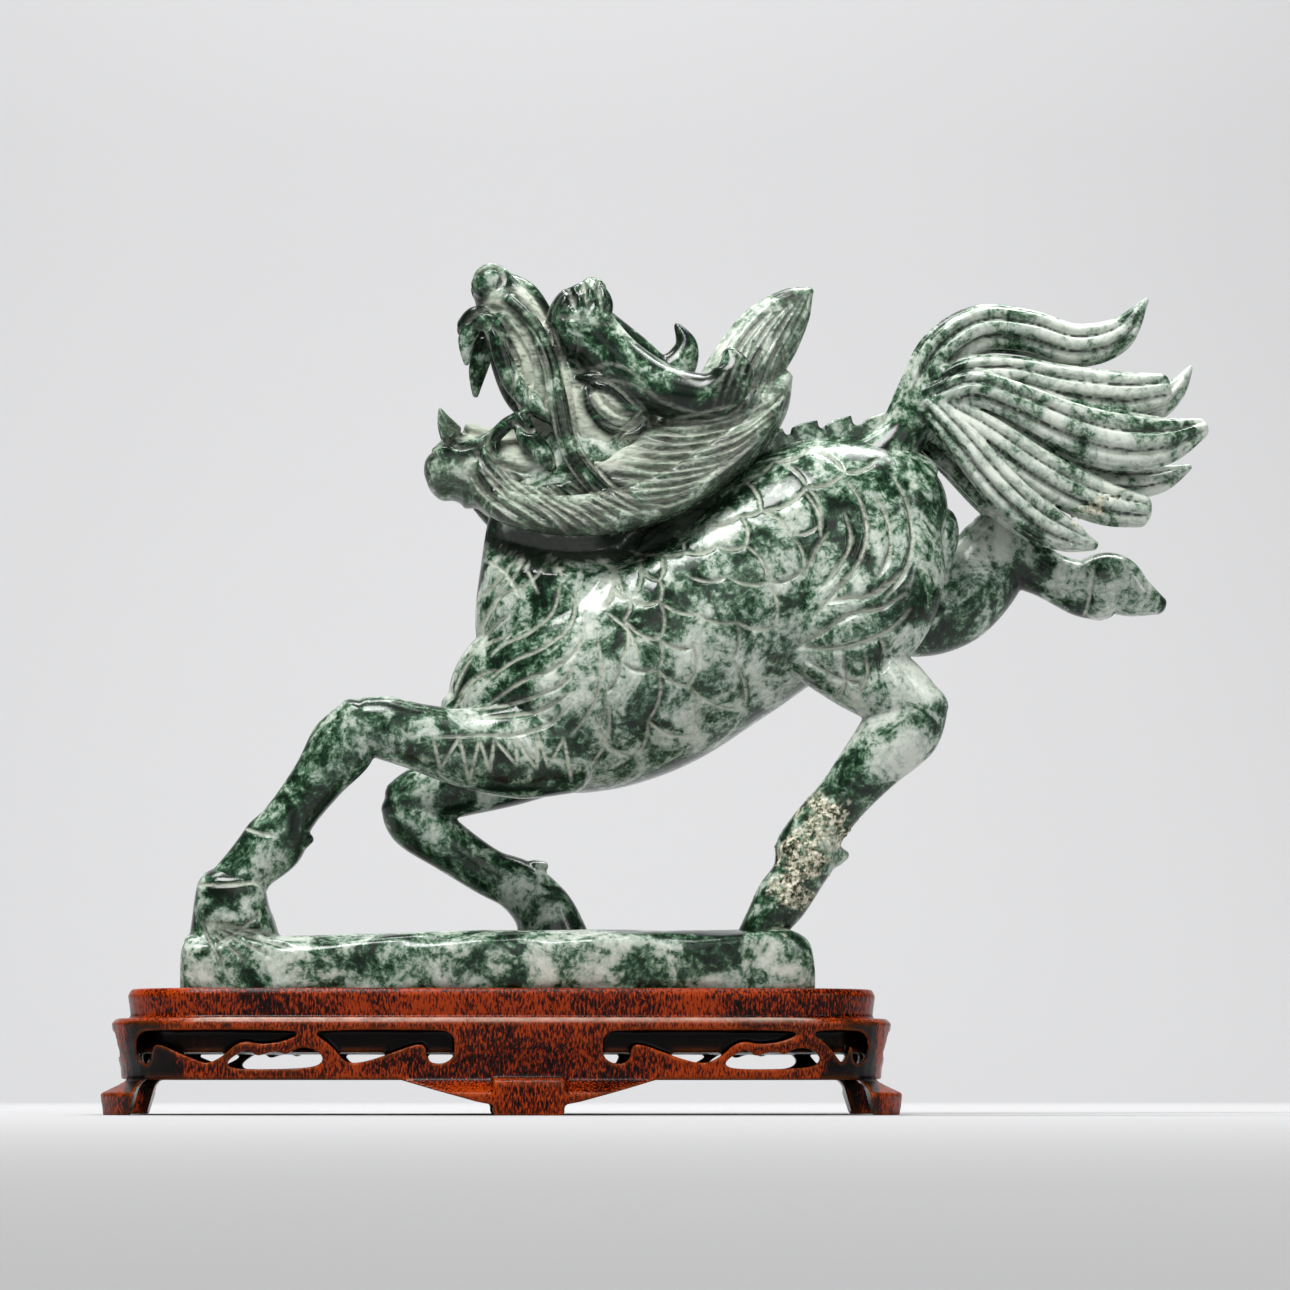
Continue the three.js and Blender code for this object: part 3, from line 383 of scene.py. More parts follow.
# Tail: fluted locks that stream back from one root
tailRoot = [
    (94, 117, 0, 9, 9), (100.5, 125, 0, 6, 7.4), (105.5, 133, 0, 6.4, 8), (111, 139.4, 0, 7, 8.6),
]
tailSlim = 0.92                 # leaves room for the deep cuts between the locks
tailLocks = [
    [
        (101, 128, 0, 6, 6.6), (104.6, 137, 0, 5.6, 7.4), (110.4, 146, 0, 6.8, 8), (120, 152, 0, 6.9, 8),
        (132, 151.4, 0, 6.5, 7.2), (144, 148.2, 0, 6.2, 6.2), (155, 151, 0, 4.9, 4.4),
        (162.4, 160, 0, 0.8, 1),
    ],
    [
        (106, 134, -3, 4.4, 5), (115.6, 139.4, -5, 5.4, 5.6), (128, 139.6, -6, 5.4, 5.4),
        (140, 136.8, -6.4, 6.2, 5), (155, 135, -6.4, 6.4, 4.6), (165.4, 136, -6, 5, 3.6),
    ],
    [
        (112, 136, 5, 5, 5.4), (128, 136.4, 6, 5.6, 5.6), (150, 131.6, 6, 6, 5), (163, 133.2, 5, 5, 4),
        (170, 137.6, 4, 3.2, 2.8), (174, 143.4, 3, 0.7, 0.8),
    ],
    [
        (107, 133, -5, 5, 5), (117, 136, -8, 5.4, 5.4), (128, 132.4, -9.4, 6.2, 5.6),
        (140, 126.8, -10, 7.4, 5.6), (152, 123, -10, 8.4, 5.4), (164.4, 122.8, -9.4, 7, 4.6),
        (174.6, 126.2, -8.6, 3, 2.8),
    ],
    [
        (110, 131, 6, 5.4, 5), (124, 125, 8, 6, 5.6), (140, 118.6, 8.4, 5.8, 5.2), (155, 115, 8, 5.2, 4.4),
        (166, 115.4, 7.4, 4.2, 3.6), (174, 118.4, 7, 1, 1.2),
    ],
    [
        (109, 132, -6, 4, 4.4), (120.4, 125, -8.4, 5.4, 5), (132, 116.4, -9.4, 6.4, 5.2),
        (142, 110.4, -9.4, 6.6, 5), (151, 106.8, -9, 6, 4.6), (159.6, 105.2, -8.6, 4.6, 3.8),
    ],
    [
        (107, 132, -6, 4, 4.4), (114, 123.4, -9, 5, 5.4), (123.6, 111.4, -11, 5.8, 5.6),
        (132.4, 103, -11.4, 6, 5.2), (140.4, 98.6, -11, 4.6, 4.4), (147.4, 96.2, -10.4, 1.4, 1.6),
    ],
    [
        (103, 130, 4, 6, 6), (114, 121, 7, 6, 6), (125.5, 109.6, 9, 6, 5.6), (137, 100.4, 9.4, 4.6, 4.4),
    ],
]

# Strokes of the cutting wheel, drawn on the side view: the map holds their depth in millimetres
mapCell = 0.2
mapMargin = 4
mapLow = (carvingLow.x - mapMargin, carvingLow.z - mapMargin)
mapSize = [int((high - low + 2 * mapMargin) / mapCell)
           for low, high in ((carvingLow.x, carvingHigh.x), (carvingLow.z, carvingHigh.z))]
powderLine = {"halfWidth": 0.5, "strength": 1.5}


def blankMap():
    return {layer: np.zeros(mapSize, dtype=np.float32) for layer in ("groove", "powder")}


def stamp(layer, x, z, width, depth):
    reach = int(width / mapCell) + 2
    gx = (x - mapLow[0]) / mapCell
    gz = (z - mapLow[1]) / mapCell
    ix, iz = int(gx), int(gz)
    if not (reach < ix < mapSize[0] - reach - 1 and reach < iz < mapSize[1] - reach - 1):
        return
    offsets = np.arange(-reach, reach + 1) * mapCell
    dx = offsets[:, None] + (ix - gx) * mapCell
    dz = offsets[None, :] + (iz - gz) * mapCell
    near = np.clip(1 - np.sqrt(dx * dx + dz * dz) / width, 0, 1)
    patch = layer[ix - reach:ix + reach + 1, iz - reach:iz + reach + 1]
    np.maximum(patch, near * depth, out=patch)


def drawStroke(depthMap, points, width=0.7, depth=0.5, taper=True, powder=1.0):
    # points are (x, z) as the stations are, width is half the groove's width in millimetres
    length = sum(math.dist(a, b) for a, b in zip(points, points[1:]))
    count = max(int(length / mapCell), 4)
    for i in range(count + 1):
        t = i / count
        x, z = curveAt(points, t) if len(points) > 2 else [a + (b - a) * t for a, b in zip(*points)]
        at = place(x, 0, z)
        fade = min(1.0, 0.2 + 3.2 * min(t, 1 - t)) if taper else 1.0
        stamp(depthMap["groove"], at.x, at.z, width * (0.5 + 0.5 * fade), depth * fade)
        stamp(depthMap["powder"], at.x, at.z, powderLine["halfWidth"], powderLine["strength"] * powder * fade)


def readMap(layer, points):
    gx = np.clip((points[:, 0] * 1000 - mapLow[0]) / mapCell, 0, mapSize[0] - 2)
    gz = np.clip((points[:, 2] * 1000 - mapLow[1]) / mapCell, 0, mapSize[1] - 2)
    ix, iz = gx.astype(int), gz.astype(int)
    fx, fz = gx - ix, gz - iz
    return ((layer[ix, iz] * (1 - fx) + layer[ix + 1, iz] * fx) * (1 - fz)
            + (layer[ix, iz + 1] * (1 - fx) + layer[ix + 1, iz + 1] * fx) * fz)


def insideOutline(x, z, outline):
    inside = False
    for (ax, az), (bx, bz) in zip(outline, outline[1:] + outline[:1]):
        if (az > z) != (bz > z) and x < (bx - ax) * (z - az) / (bz - az) + ax:
            inside = not inside
    return inside


# where the stand's middle and the rock's top are in the photograph
photo = {"middleX": 500, "rockTop": 932, "pixelsPerMillimetre": 4}


def fromPhoto(*pixels):
    # the pixels' x and y by turns, given back as (x, z) in millimetres
    scale = photo["pixelsPerMillimetre"]
    return [((px - photo["middleX"]) / scale, (photo["rockTop"] - py) / scale)
            for px, py in zip(pixels[::2], pixels[1::2])]


def strokesFrom(*rows):
    return [fromPhoto(*row) for row in rows]


scaleField = {
    "outline": fromPhoto(580, 600, 640, 552, 700, 530, 770, 450, 850, 436, 880, 470, 832, 500, 826, 560,
                         790, 620, 775, 650, 760, 700, 700, 760, 630, 790, 560, 780, 580, 720, 600, 640),
    "centre": (4, 126), "firstRing": 27, "growth": 1.115, "rings": 16, "columns": 32,
    "turn": math.radians(9.6), "width": 0.75, "depth": 0.75, "jitter": 1.7, "missing": 0.1, "bulge": 0.13,
}


def drawScales(depthMap):
    # overlapping scales with pointed ends, in rings that open out from the mane
    v = scaleField
    knots = {}

    def knot(ring, column):
        # column counts half scales, so that each ring sits between the scales of the last
        if (ring, column) not in knots:
            far = v["firstRing"] * v["growth"] ** ring
            turn = -v["turn"] * column / 2
            x = v["centre"][0] + far * math.cos(turn) + random.uniform(-1, 1) * v["jitter"]
            z = v["centre"][1] + far * math.sin(turn) + random.uniform(-1, 1) * v["jitter"]
            knots[ring, column] = (x, z)
        return knots[ring, column]

    for ring in range(v["rings"]):
        for column in range(ring % 2, v["columns"], 2):
            start = knot(ring, column)
            for side in (-1, 1):
                end = knot(ring + 1, column + side)
                arc = [start]
                for share in (0.35, 0.7):
                    out = 4 * v["bulge"] * side * share * (1 - share)
                    arc.append((start[0] + (end[0] - start[0]) * share - (end[1] - start[1]) * out,
                                start[1] + (end[1] - start[1]) * share - (start[0] - end[0]) * out))
                arc.append(end)
                drawn = random.random() > v["missing"]
                if drawn and insideOutline(*arc[1], v["outline"]) and insideOutline(*end, v["outline"]):
                    drawStroke(depthMap, arc, v["width"], v["depth"] * random.uniform(0.7, 1.2),
                               powder=random.uniform(0.45, 1.0))


# Strokes of the body, in the photograph's pixels
shoulderCurls = strokesFrom(
    (556, 590, 548, 620, 524, 640, 500, 650, 488, 662), (572, 596, 566, 632, 540, 655, 510, 668, 480, 690),
    (580, 620, 574, 654, 550, 676, 516, 690, 478, 716), (572, 660, 560, 690, 530, 704, 500, 712, 470, 716),
    (566, 700, 540, 716, 510, 722, 480, 724), (430, 745, 470, 742, 510, 742, 545, 730, 566, 712),
    (590, 640, 596, 680, 586, 716, 566, 742), (600, 700, 604, 730, 596, 756, 580, 776),
    (520, 560, 512, 580, 498, 594), (540, 575, 524, 590, 500, 600, 484, 616),
    (500, 596, 490, 612, 480, 630, 470, 650), (506, 620, 488, 634, 474, 656),
    (470, 660, 458, 680, 450, 702), (484, 676, 466, 690, 452, 712),
)
leafLine = [(434 + 21 * k + random.uniform(-7, 7), 750 - 1.5 * k + random.uniform(-5, 5)) for k in range(7)]
cutEnds = [(444 + 21 * k + random.uniform(-7, 7), 780 + random.uniform(-9, 9)) for k in range(7)]
legCuts = [fromPhoto(*top, *end) for top, end in zip(leafLine, cutEnds)]
legCuts += [fromPhoto(*end, *top) for end, top in zip(cutEnds, leafLine[1:])]
chestCuts = strokesFrom(
    (478, 560, 500, 576, 516, 604), (500, 548, 520, 570, 534, 600), (476, 600, 490, 590, 516, 560),
    (470, 640, 486, 616, 500, 590), (462, 664, 480, 650, 508, 640), (530, 548, 548, 566, 560, 588),
    (456, 700, 470, 684, 492, 676), (590, 560, 610, 580, 618, 604), (600, 620, 622, 640, 634, 668),
)
haunchCurls = strokesFrom(
    (838, 486, 852, 508, 858, 540, 848, 572, 826, 600, 806, 622), (866, 500, 880, 530, 880, 560, 866, 588),
    (884, 478, 900, 510, 904, 546, 894, 580, 872, 610), (836, 520, 842, 548, 830, 574, 812, 596),
    (902, 570, 880, 590, 856, 604, 834, 606, 812, 612), (896, 600, 870, 616, 840, 622, 812, 640, 790, 652),
    (790, 652, 820, 656, 850, 650, 880, 636, 900, 616), (800, 668, 830, 684, 850, 690),
    (856, 660, 858, 680, 850, 700), (868, 640, 876, 660, 872, 680), (834, 664, 836, 690, 830, 704),
    (820, 540, 806, 560, 796, 584), (798, 500, 810, 520, 812, 546),
)
fetlockLines = strokesFrom(
    (197, 888, 230, 889, 264, 886), (246, 832, 262, 838, 274, 840), (764, 930, 790, 931),
    (1098, 560, 1092, 600, 1088, 612),
)
pillarFan = [fromPhoto(206, 924, 230 + 22 * k, 972 - 7 * k) for k in range(5)]
pillarFan.append(fromPhoto(262, 918, 240, 936, 214, 952))
underMane = fromPhoto(456, 526, 486, 540, 540, 553, 600, 552, 654, 536, 706, 496, 744, 460)
bodyCuts = [
    ([underMane], {"width": 7, "depth": 3.8, "powder": 0}),
    (shoulderCurls + chestCuts, {"width": 0.8, "depth": 0.75, "powder": 0.8}),
    (haunchCurls, {"width": 1.3, "depth": 1.3, "powder": 0.75}),
    (legCuts, {"width": 0.6, "depth": 0.5}),
    (fetlockLines, {"width": 0.7, "depth": 0.6, "taper": False}),
    (pillarFan, {"width": 1.1, "depth": 0.8, "powder": 0.45}),
]
# fine scratches of the abrasive under the belly, in pixels
scratches = {"count": 46, "left": 610, "right": 780, "lineX": 600, "lineY": 792, "slope": 0.62, "band": 20}

# Strokes of the head: lids, lips, nostril curl, brow slashes, edges of whisker and near horn, cheek curls
headStrokes = strokesFrom(
    (586, 388, 600, 386, 618, 398, 634, 416), (590, 396, 602, 412, 618, 420, 634, 418),
    (596, 428, 620, 436, 640, 424), (572, 372, 588, 372, 606, 370, 626, 378, 644, 398),
    (472, 292, 470, 278, 480, 268, 495, 268, 500, 280, 492, 290), (500, 310, 524, 340, 540, 376, 542, 416),
    (484, 326, 504, 348, 513, 374, 506, 400), (494, 318, 514, 344, 526, 374, 524, 410),
    (462, 326, 478, 312, 500, 312), (516, 300, 548, 334, 560, 372, 566, 416, 576, 456, 602, 490, 634, 514),
    (500, 306, 530, 338, 544, 376, 548, 420, 558, 462, 584, 500, 616, 524), (562, 284, 572, 318),
    (578, 280, 584, 318), (594, 284, 598, 322), (590, 382, 630, 392, 670, 414, 720, 424),
    (700, 400, 716, 384, 722, 372), (640, 350, 670, 378, 700, 396), (552, 320, 580, 326, 610, 330),
    (490, 430, 484, 450, 500, 470, 530, 476, 552, 464), (508, 426, 524, 436, 540, 430),
    (520, 420, 540, 430, 552, 456, 548, 476), (470, 450, 480, 470, 506, 492, 540, 500),
    (438, 440, 460, 452, 482, 448), (448, 430, 470, 436, 490, 428),
)
hairStrokes = strokesFrom(
    (638, 418, 667, 427, 704, 423, 733, 415), (640, 427, 677, 438, 725, 429, 767, 407, 788, 386),
    (638, 442, 677, 447, 730, 436, 777, 402), (625, 451, 667, 456, 725, 445, 772, 413),
    (619, 463, 667, 466, 725, 455, 767, 423), (612, 473, 662, 477, 719, 468, 759, 436),
    (606, 484, 656, 486, 709, 477, 746, 449), (614, 497, 662, 496, 698, 486, 725, 468),
    (630, 507, 667, 503, 693, 494), (604, 452, 618, 438, 638, 420), (593, 468, 612, 452, 633, 442),
)
fringeStrokes = strokesFrom(
    (466, 476, 484, 500, 506, 520, 524, 530), (475, 468, 498, 497, 530, 523, 548, 534),
    (483, 461, 509, 490, 541, 518, 562, 539), (498, 468, 525, 495, 551, 518, 577, 538),
    (520, 482, 548, 506, 572, 524, 592, 540), (538, 488, 562, 507, 588, 526, 608, 538),
    (562, 492, 588, 513, 614, 531), (583, 497, 609, 515, 635, 526), (604, 502, 630, 518, 656, 520),
    (640, 514, 664, 512, 690, 500),
)
lockStrokes = [
    fromPhoto(704 + 9 * k, 424 - 2 * k, 722 + 9 * k, 372 - 2 * k, 752 + 8 * k, 324 - 2 * k, 796 + 2 * k, 290)
    for k in range(7)
]
headCuts = [
    (headStrokes, {"width": 1.3, "depth": 1.5, "powder": 0.3}),
    (hairStrokes + fringeStrokes, {"width": 1.3, "depth": 1.6, "powder": 0.15}),
    (lockStrokes, {"width": 0.9, "depth": 0.8, "powder": 0.2}),
]
fineHair = {"shift": 1.0, "waver": 0.25, "width": 0.45, "depth": 0.3, "powder": 0.5}


def drawCuts(depthMap, cuts):
    for strokes, settings in cuts:
        for stroke in strokes:
            drawStroke(depthMap, stroke, **settings)


def drawBody():
    depthMap = blankMap()
    drawCuts(depthMap, bodyCuts)
    drawScales(depthMap)
    v = scratches
    for k in range(v["count"]):
        px = random.uniform(v["left"], v["right"])
        py = v["lineY"] - v["slope"] * (px - v["lineX"]) + random.uniform(-v["band"], 0)
        line = fromPhoto(px, py, px + random.uniform(6, 16), py - random.uniform(10, 24))
        drawStroke(depthMap, line, width=0.35, depth=0.14, powder=0.12)
    return depthMap


def drawHead():
    depthMap = blankMap()
    drawCuts(depthMap, headCuts)
    v = fineHair
    for stroke in hairStrokes + fringeStrokes:
        for shift in (-v["shift"], v["shift"]):
            # finer lines on the back of each strand
            finer = [(x, z + shift + random.uniform(-v["waver"], v["waver"])) for x, z in stroke]
            drawStroke(depthMap, finer, v["width"], v["depth"], powder=v["powder"])
    return depthMap


# Finishing a stone piece: cut the strokes, thin out, then write what the material reads
# gritty repairs as (x, z, radius), and how proud their grains stand
repairPatches = [
    (79, 27, 7), (74, 19, 6.5), (70, 10, 5), (67, 1.5, 1.6), (143, 102, 1.8), (145.2, 104, 2),
    (147.4, 106, 2), (149.6, 108, 1.8), (152, 109.4, 1.6),
]
repairGrain = 0.0004
# places on the stone as (x, z, spread, strength): hind shank, belly and standing lock are paler stone, and
# the chest is painted paler as painted light on its side turned from the lamps
paleCloudsAndPaintedLight = [(92, 44, 900, 1), (52, 66, 900, 0.7), (64, 146, 500, 0.6), (6, 70, 500, 0.9)]
# the raised forms of the head are darker and more polished than the ground between them
darkForms = {
    "nearHorn": 0.8, "farHorn": 0.7, "whisker": 1.3, "browTuft": 1.0, "jowl": 1.2, "mouthCurl": 1.2,
    "eyelid": 1.3, "jawLip": 1.0, "upperLip": 0.8, "nostril": 0.7, "noseRidge": 1.0, "nearFang": 0.3,
    "farFang": 0.3,
}
# painted shadow under the mane: the groove depth there where the darkening starts, its range and its waver
paintedManeShadow = {"fromDepth": 1.35, "range": 1.9, "waver": 0.12}


def readRows(items, field, width, kind=np.float32):
    flat = np.empty(len(items) * width, dtype=kind)
    items.foreach_get(field, flat)
    return flat.reshape(-1, width)


def surfaceOf(piece):
    return readRows(piece.data.vertices, "co", 3), readRows(piece.data.vertex_normals, "vector", 3)


def neighbourMean(values, edges):
    total = np.zeros(values.shape, dtype=np.float64)
    np.add.at(total, edges[:, 0], values[edges[:, 1]])
    np.add.at(total, edges[:, 1], values[edges[:, 0]])
    degree = np.maximum(np.bincount(edges.ravel(), minlength=len(values)), 1)
    return total / (degree[:, None] if values.ndim == 2 else degree)


def bendOf(piece, points, normals):
    # above 0 in hollows, below 0 on edges, softened twice
    edges = readRows(piece.data.edges, "vertices", 2, np.int32)
    lengths = np.linalg.norm(points[edges[:, 0]] - points[edges[:, 1]], axis=1)
    bend = ((neighbourMean(points, edges) - points) * normals).sum(axis=1) / lengths.mean()
    for _ in range(2):
        bend = 0.5 * bend + 0.5 * neighbourMean(bend, edges)
    return bend


def writeAttribute(piece, name, values):
    attribute = piece.data.attributes.new(name, "FLOAT", "POINT")
    attribute.data.foreach_set("value", values.astype(np.float32))


def lumps(points, size, seed):
    # smooth noise about 0, as a sum of plane waves whose length is about size in millimetres
    waves = np.random.default_rng(seed)
    total = np.zeros(len(points))
    for _ in range(14):
        direction = waves.normal(size=3)
        direction *= 2 * math.pi / (np.linalg.norm(direction) * size * waves.uniform(0.7, 1.5))
        total += np.sin(points @ direction * 1000 + waves.uniform(0, 6.28))
    return total / 3.7


def repairShare(points):
    share = np.zeros(len(points))
    ragged = 1.3 * lumps(points, 5, seed=3) + 0.7 * lumps(points, 2, seed=4)
    for x, z, radius in repairPatches:
        at = place(x, 0, z) / 1000
        far = np.hypot(points[:, 0] - at.x, points[:, 2] - at.z) * 1000
        share = np.maximum(share, np.clip((radius + ragged - far) / 1.2, 0, 1) * (points[:, 1] < 0))
    return share


def nearForm(points, stations, flip=1):
    # 1 on the skin of a form, 0 from 2 mm outside it
    share = np.zeros(len(points))
    for k in range(33):
        x, z, y, up, side = curveAt(stations, k / 32)
        at = np.array(place(x, y * flip, z)) / 1000
        far = np.linalg.norm(points - at, axis=1) * 1000
        share = np.maximum(share, np.clip(1 - (far - (up + side) / 2) / 2, 0, 1))
    return share


def facingSide(normals):
    # the wheel cuts what faces the side of the carving
    return np.clip(np.abs(normals[:, 1]) * 2.2 - 0.25, 0, 1)


def cutStrokes(piece, depthMap):
    points, normals = surfaceOf(piece)
    depth = readMap(depthMap["groove"], points) * facingSide(normals) / 1000
    if piece.name == "headAndMane":
        # the horns stay smooth
        depth *= 1 - np.maximum(*(nearForm(points, horn) for horn in hornForms.values()))
    rough = 0.7 * lumps(points, 1.4, seed=5) + 0.5 * lumps(points, 2.6, seed=6)
    moved = points + normals * (repairShare(points) * rough * repairGrain - depth)[:, None]
    piece.data.vertices.foreach_set("co", moved.astype(np.float32).ravel())
    piece.data.update()


def ramp(value, start, length):
    return np.clip((value - start) / length, 0, 1)


def writeStoneFacts(piece, depthMap):
    points, normals = surfaceOf(piece)
    bend = bendOf(piece, points, normals)
    # painted shadow: the stone cut back under the mane is darkened, standing in for the shade the mane casts
    # on the neck
    groove = readMap(depthMap["groove"], points)
    waver = paintedManeShadow["waver"] * lumps(points, 3, seed=8)
    under = np.clip((groove - paintedManeShadow["fromDepth"]) / paintedManeShadow["range"] + waver, 0, 1)
    under *= (piece.name == "bodyAndLegs") * (groove > paintedManeShadow["fromDepth"])
    powder = readMap(depthMap["powder"], points) * facingSide(normals) * (1 - under)
    x = points[:, 0] * 1000 - standMiddleX
    z = points[:, 2] * 1000 - rockTopZ
    # painted light: the rock base below its top (z under 0) is painted paler for light on its vertical front
    pale = 1.9 * ramp(x, 98, 30) * ramp(z, 84, 20) + ramp(-z, 0, 3)
    for spotX, spotZ, spread, strength in paleCloudsAndPaintedLight:
        pale += strength * np.exp(-((x - spotX) ** 2 + (z - spotZ) ** 2) / spread)
    if piece.name == "headAndMane":
        # the face has dull powdery ground, and the front of the mane is darker
        ground = 0.8 * ramp(-x, -38, 10) * ramp(z, 112, 5) * ramp(x, -12, 6) + 0.08
        pale -= 0.7 * ramp(-x, -60, 8) * np.clip((118 - z) / 6 + x / 16, 0, 1)
        single = {**hornForms, **fangForms, "noseRidge": noseRidge}
        for name, much in darkForms.items():
            for side in (1,) if name in single else (1, -1):
                near = nearForm(points, single[name] if name in single else pairedForms[name], side)
                pale -= much * near
                ground *= 1 - near
        powder = np.maximum(powder, ground + 0.45 * np.clip(bend * 4, 0, 1))
    # crevice holds the hollows and the painted shadow under the mane; the material darkens both as painted
    # shade and lays a little dust in them
    writeAttribute(piece, "crevice", np.maximum(np.clip(bend * 5, -1, 1), under))
    writeAttribute(piece, "repair", repairShare(points))
    writeAttribute(piece, "powder", np.clip(powder, 0, 1))
    writeAttribute(piece, "pale", np.clip(pale, -1.3, 2))


# Stone pieces: voxel sizes are millimetres, and each piece keeps within its number of triangles
fineVoxel = 0.42
rockVoxel = 0.5
carvedTriangles = 197000
rockTriangles = 120000


def finishStone(parts, name, depthMap, voxel=fineVoxel, mostTriangles=carvedTriangles):
    piece = joinAll(parts, name)
    melt(piece, voxel)
    cutStrokes(piece, depthMap)
    thinOut(piece, mostTriangles)
    writeStoneFacts(piece, depthMap)
    return piece


def makeBody():
    parts = [limb(form, sides=64 if name in ("barrel", "neck") else 40) for name, form in bodyForms.items()]
    parts.append(limb(hoofForms["farHindHoof"], power=2.6))
    for x, z, y, dx, dz in spurs:
        spur = [(x, z, y, 3.4, 3.6), (x + dx, z + dz, y, 2.6, 2.8), (x + 1.7 * dx, z + 1.7 * dz, y, 1.1, 1.4)]
        parts.append(limb(spur, sides=16))
    return finishStone(parts + spinePlates(), "bodyAndLegs", drawBody())


def makeRock():
    parts = [rockBase(), limb(hoofForms["nearForePillar"], power=2.6, sides=64)]
    return finishStone(parts, "rockBase", drawBody(), rockVoxel, rockTriangles)


def makeHead():
    parts = [limb(form) for form in headForms.values()]
    for name, form in pairedForms.items():
        fluted = {"sides": 60, "flutes": 9, "fluteDepth": 0.16} if name == "browTuft" else {"sides": 24}
        parts += bothSides(form, **fluted)
    parts += [limb(form, sides=36) for form in hornForms.values()]
    parts += [limb(form, sides=20) for form in [*fangForms.values(), noseRidge]]
    for name, form in maneForms.items():
        flutes = 18 if name == "standingLock" else 0
        parts.append(limb(form, sides=220, steps=14, flutes=flutes, fluteDepth=0.09))
    parts += bothSides(maneEdge, sides=90, steps=14)
    return finishStone(parts, "headAndMane", drawHead())


def makeTail():
    parts = [limb(tailRoot)]
    for lock in tailLocks:
        slim = [(x, z, y, up * tailSlim, side) for x, z, y, up, side in lock]
        parts.append(limb(slim, sides=110, steps=10, flutes=7, fluteDepth=0.36, twist=0.25))
    return finishStone(parts, "tail", blankMap())


# Materials: each helper adds one node and gives its output socket, and an input takes a value or a socket

def linear(hexColour):
    parts = [int(hexColour[i:i + 2], 16) / 255 for i in (1, 3, 5)]
    return [p / 12.92 if p <= 0.04045 else ((p + 0.055) / 1.055) ** 2.4 for p in parts] + [1.0]


def newMaterial(name):
    material = bpy.data.materials.new(name)
    material.use_nodes = True
    material.node_tree.nodes.clear()
    return material


def addNode(material, kind, inputs, output, **settings):
    node = material.node_tree.nodes.new("ShaderNode" + kind)
    for key, value in settings.items():
        setattr(node, key, value)
    for name, value in inputs.items():
        if isinstance(value, bpy.types.NodeSocket):
            material.node_tree.links.new(value, node.inputs[name])
        else:
            node.inputs[name].default_value = value
    return node.outputs[output]


def attribute(m, name):
    return addNode(m, "Attribute", {}, "Fac", attribute_name=name)


def calc(m, operation, *parts, clamp=False):
    return addNode(m, "Math", dict(enumerate(parts)), "Value", operation=operation, use_clamp=clamp)


def spread(m, value, low=0, high=1, least=0, most=1):
    ends = {"From Min": low, "From Max": high, "To Min": least, "To Max": most}
    return addNode(m, "MapRange", {"Value": value, **ends}, "Result")


def blend(m, share, first, second):
    return addNode(m, "Mix", {"Factor": share, "A": first, "B": second}, "Result", data_type="RGBA")


def noise(m, where, scale, detail, roughness=0.5, distortion=0):
    inputs = {"Vector": where, "Scale": scale, "Detail": detail, "Roughness": roughness,
              "Distortion": distortion}
    return addNode(m, "TexNoise", inputs, "Fac")


def tones(m, value, stops):
    colour = addNode(m, "ValToRGB", {"Fac": value}, "Color")
    elements = colour.node.color_ramp.elements
    while len(elements) < len(stops):
        elements.new(0.5)
    for element, (position, hexColour) in zip(elements, stops):
        element.position = position
        element.color = linear(hexColour)
    return colour


def finishWith(m, **inputs):
    named = {key.replace("_", " "): value for key, value in inputs.items()}
    shader = addNode(m, "BsdfPrincipled", named, "BSDF")
    output = m.node_tree.nodes.new("ShaderNodeOutputMaterial")
    m.node_tree.links.new(shader, output.inputs["Surface"])
    return m


stoneLook = {
    "tones": [(0.39, "#0b170f"), (0.47, "#1d3624"), (0.525, "#4c6a52"), (0.585, "#98a598"), (0.7, "#c6ccc1")],
    "grit": [(0.46, "#8f8860"), (0.58, "#d6d3c2")], "hollowShade": "#0c1710", "powder": "#b4baaa",
    "cloudSize": 12, "speckSize": 1.9, "speckShare": 0.5, "paleShare": 0.06, "shift": 0.25,
    "hollowShadeShare": 0.96, "hollowDust": 0.03, "powderStrength": 1.5, "streaks": (260, 600, 900),
    "streakTurn": 35, "gritScale": 620, "roughness": 0.21, "dullRoughness": 0.8, "gloss": 0.3,
    "refraction": 1.56,
}


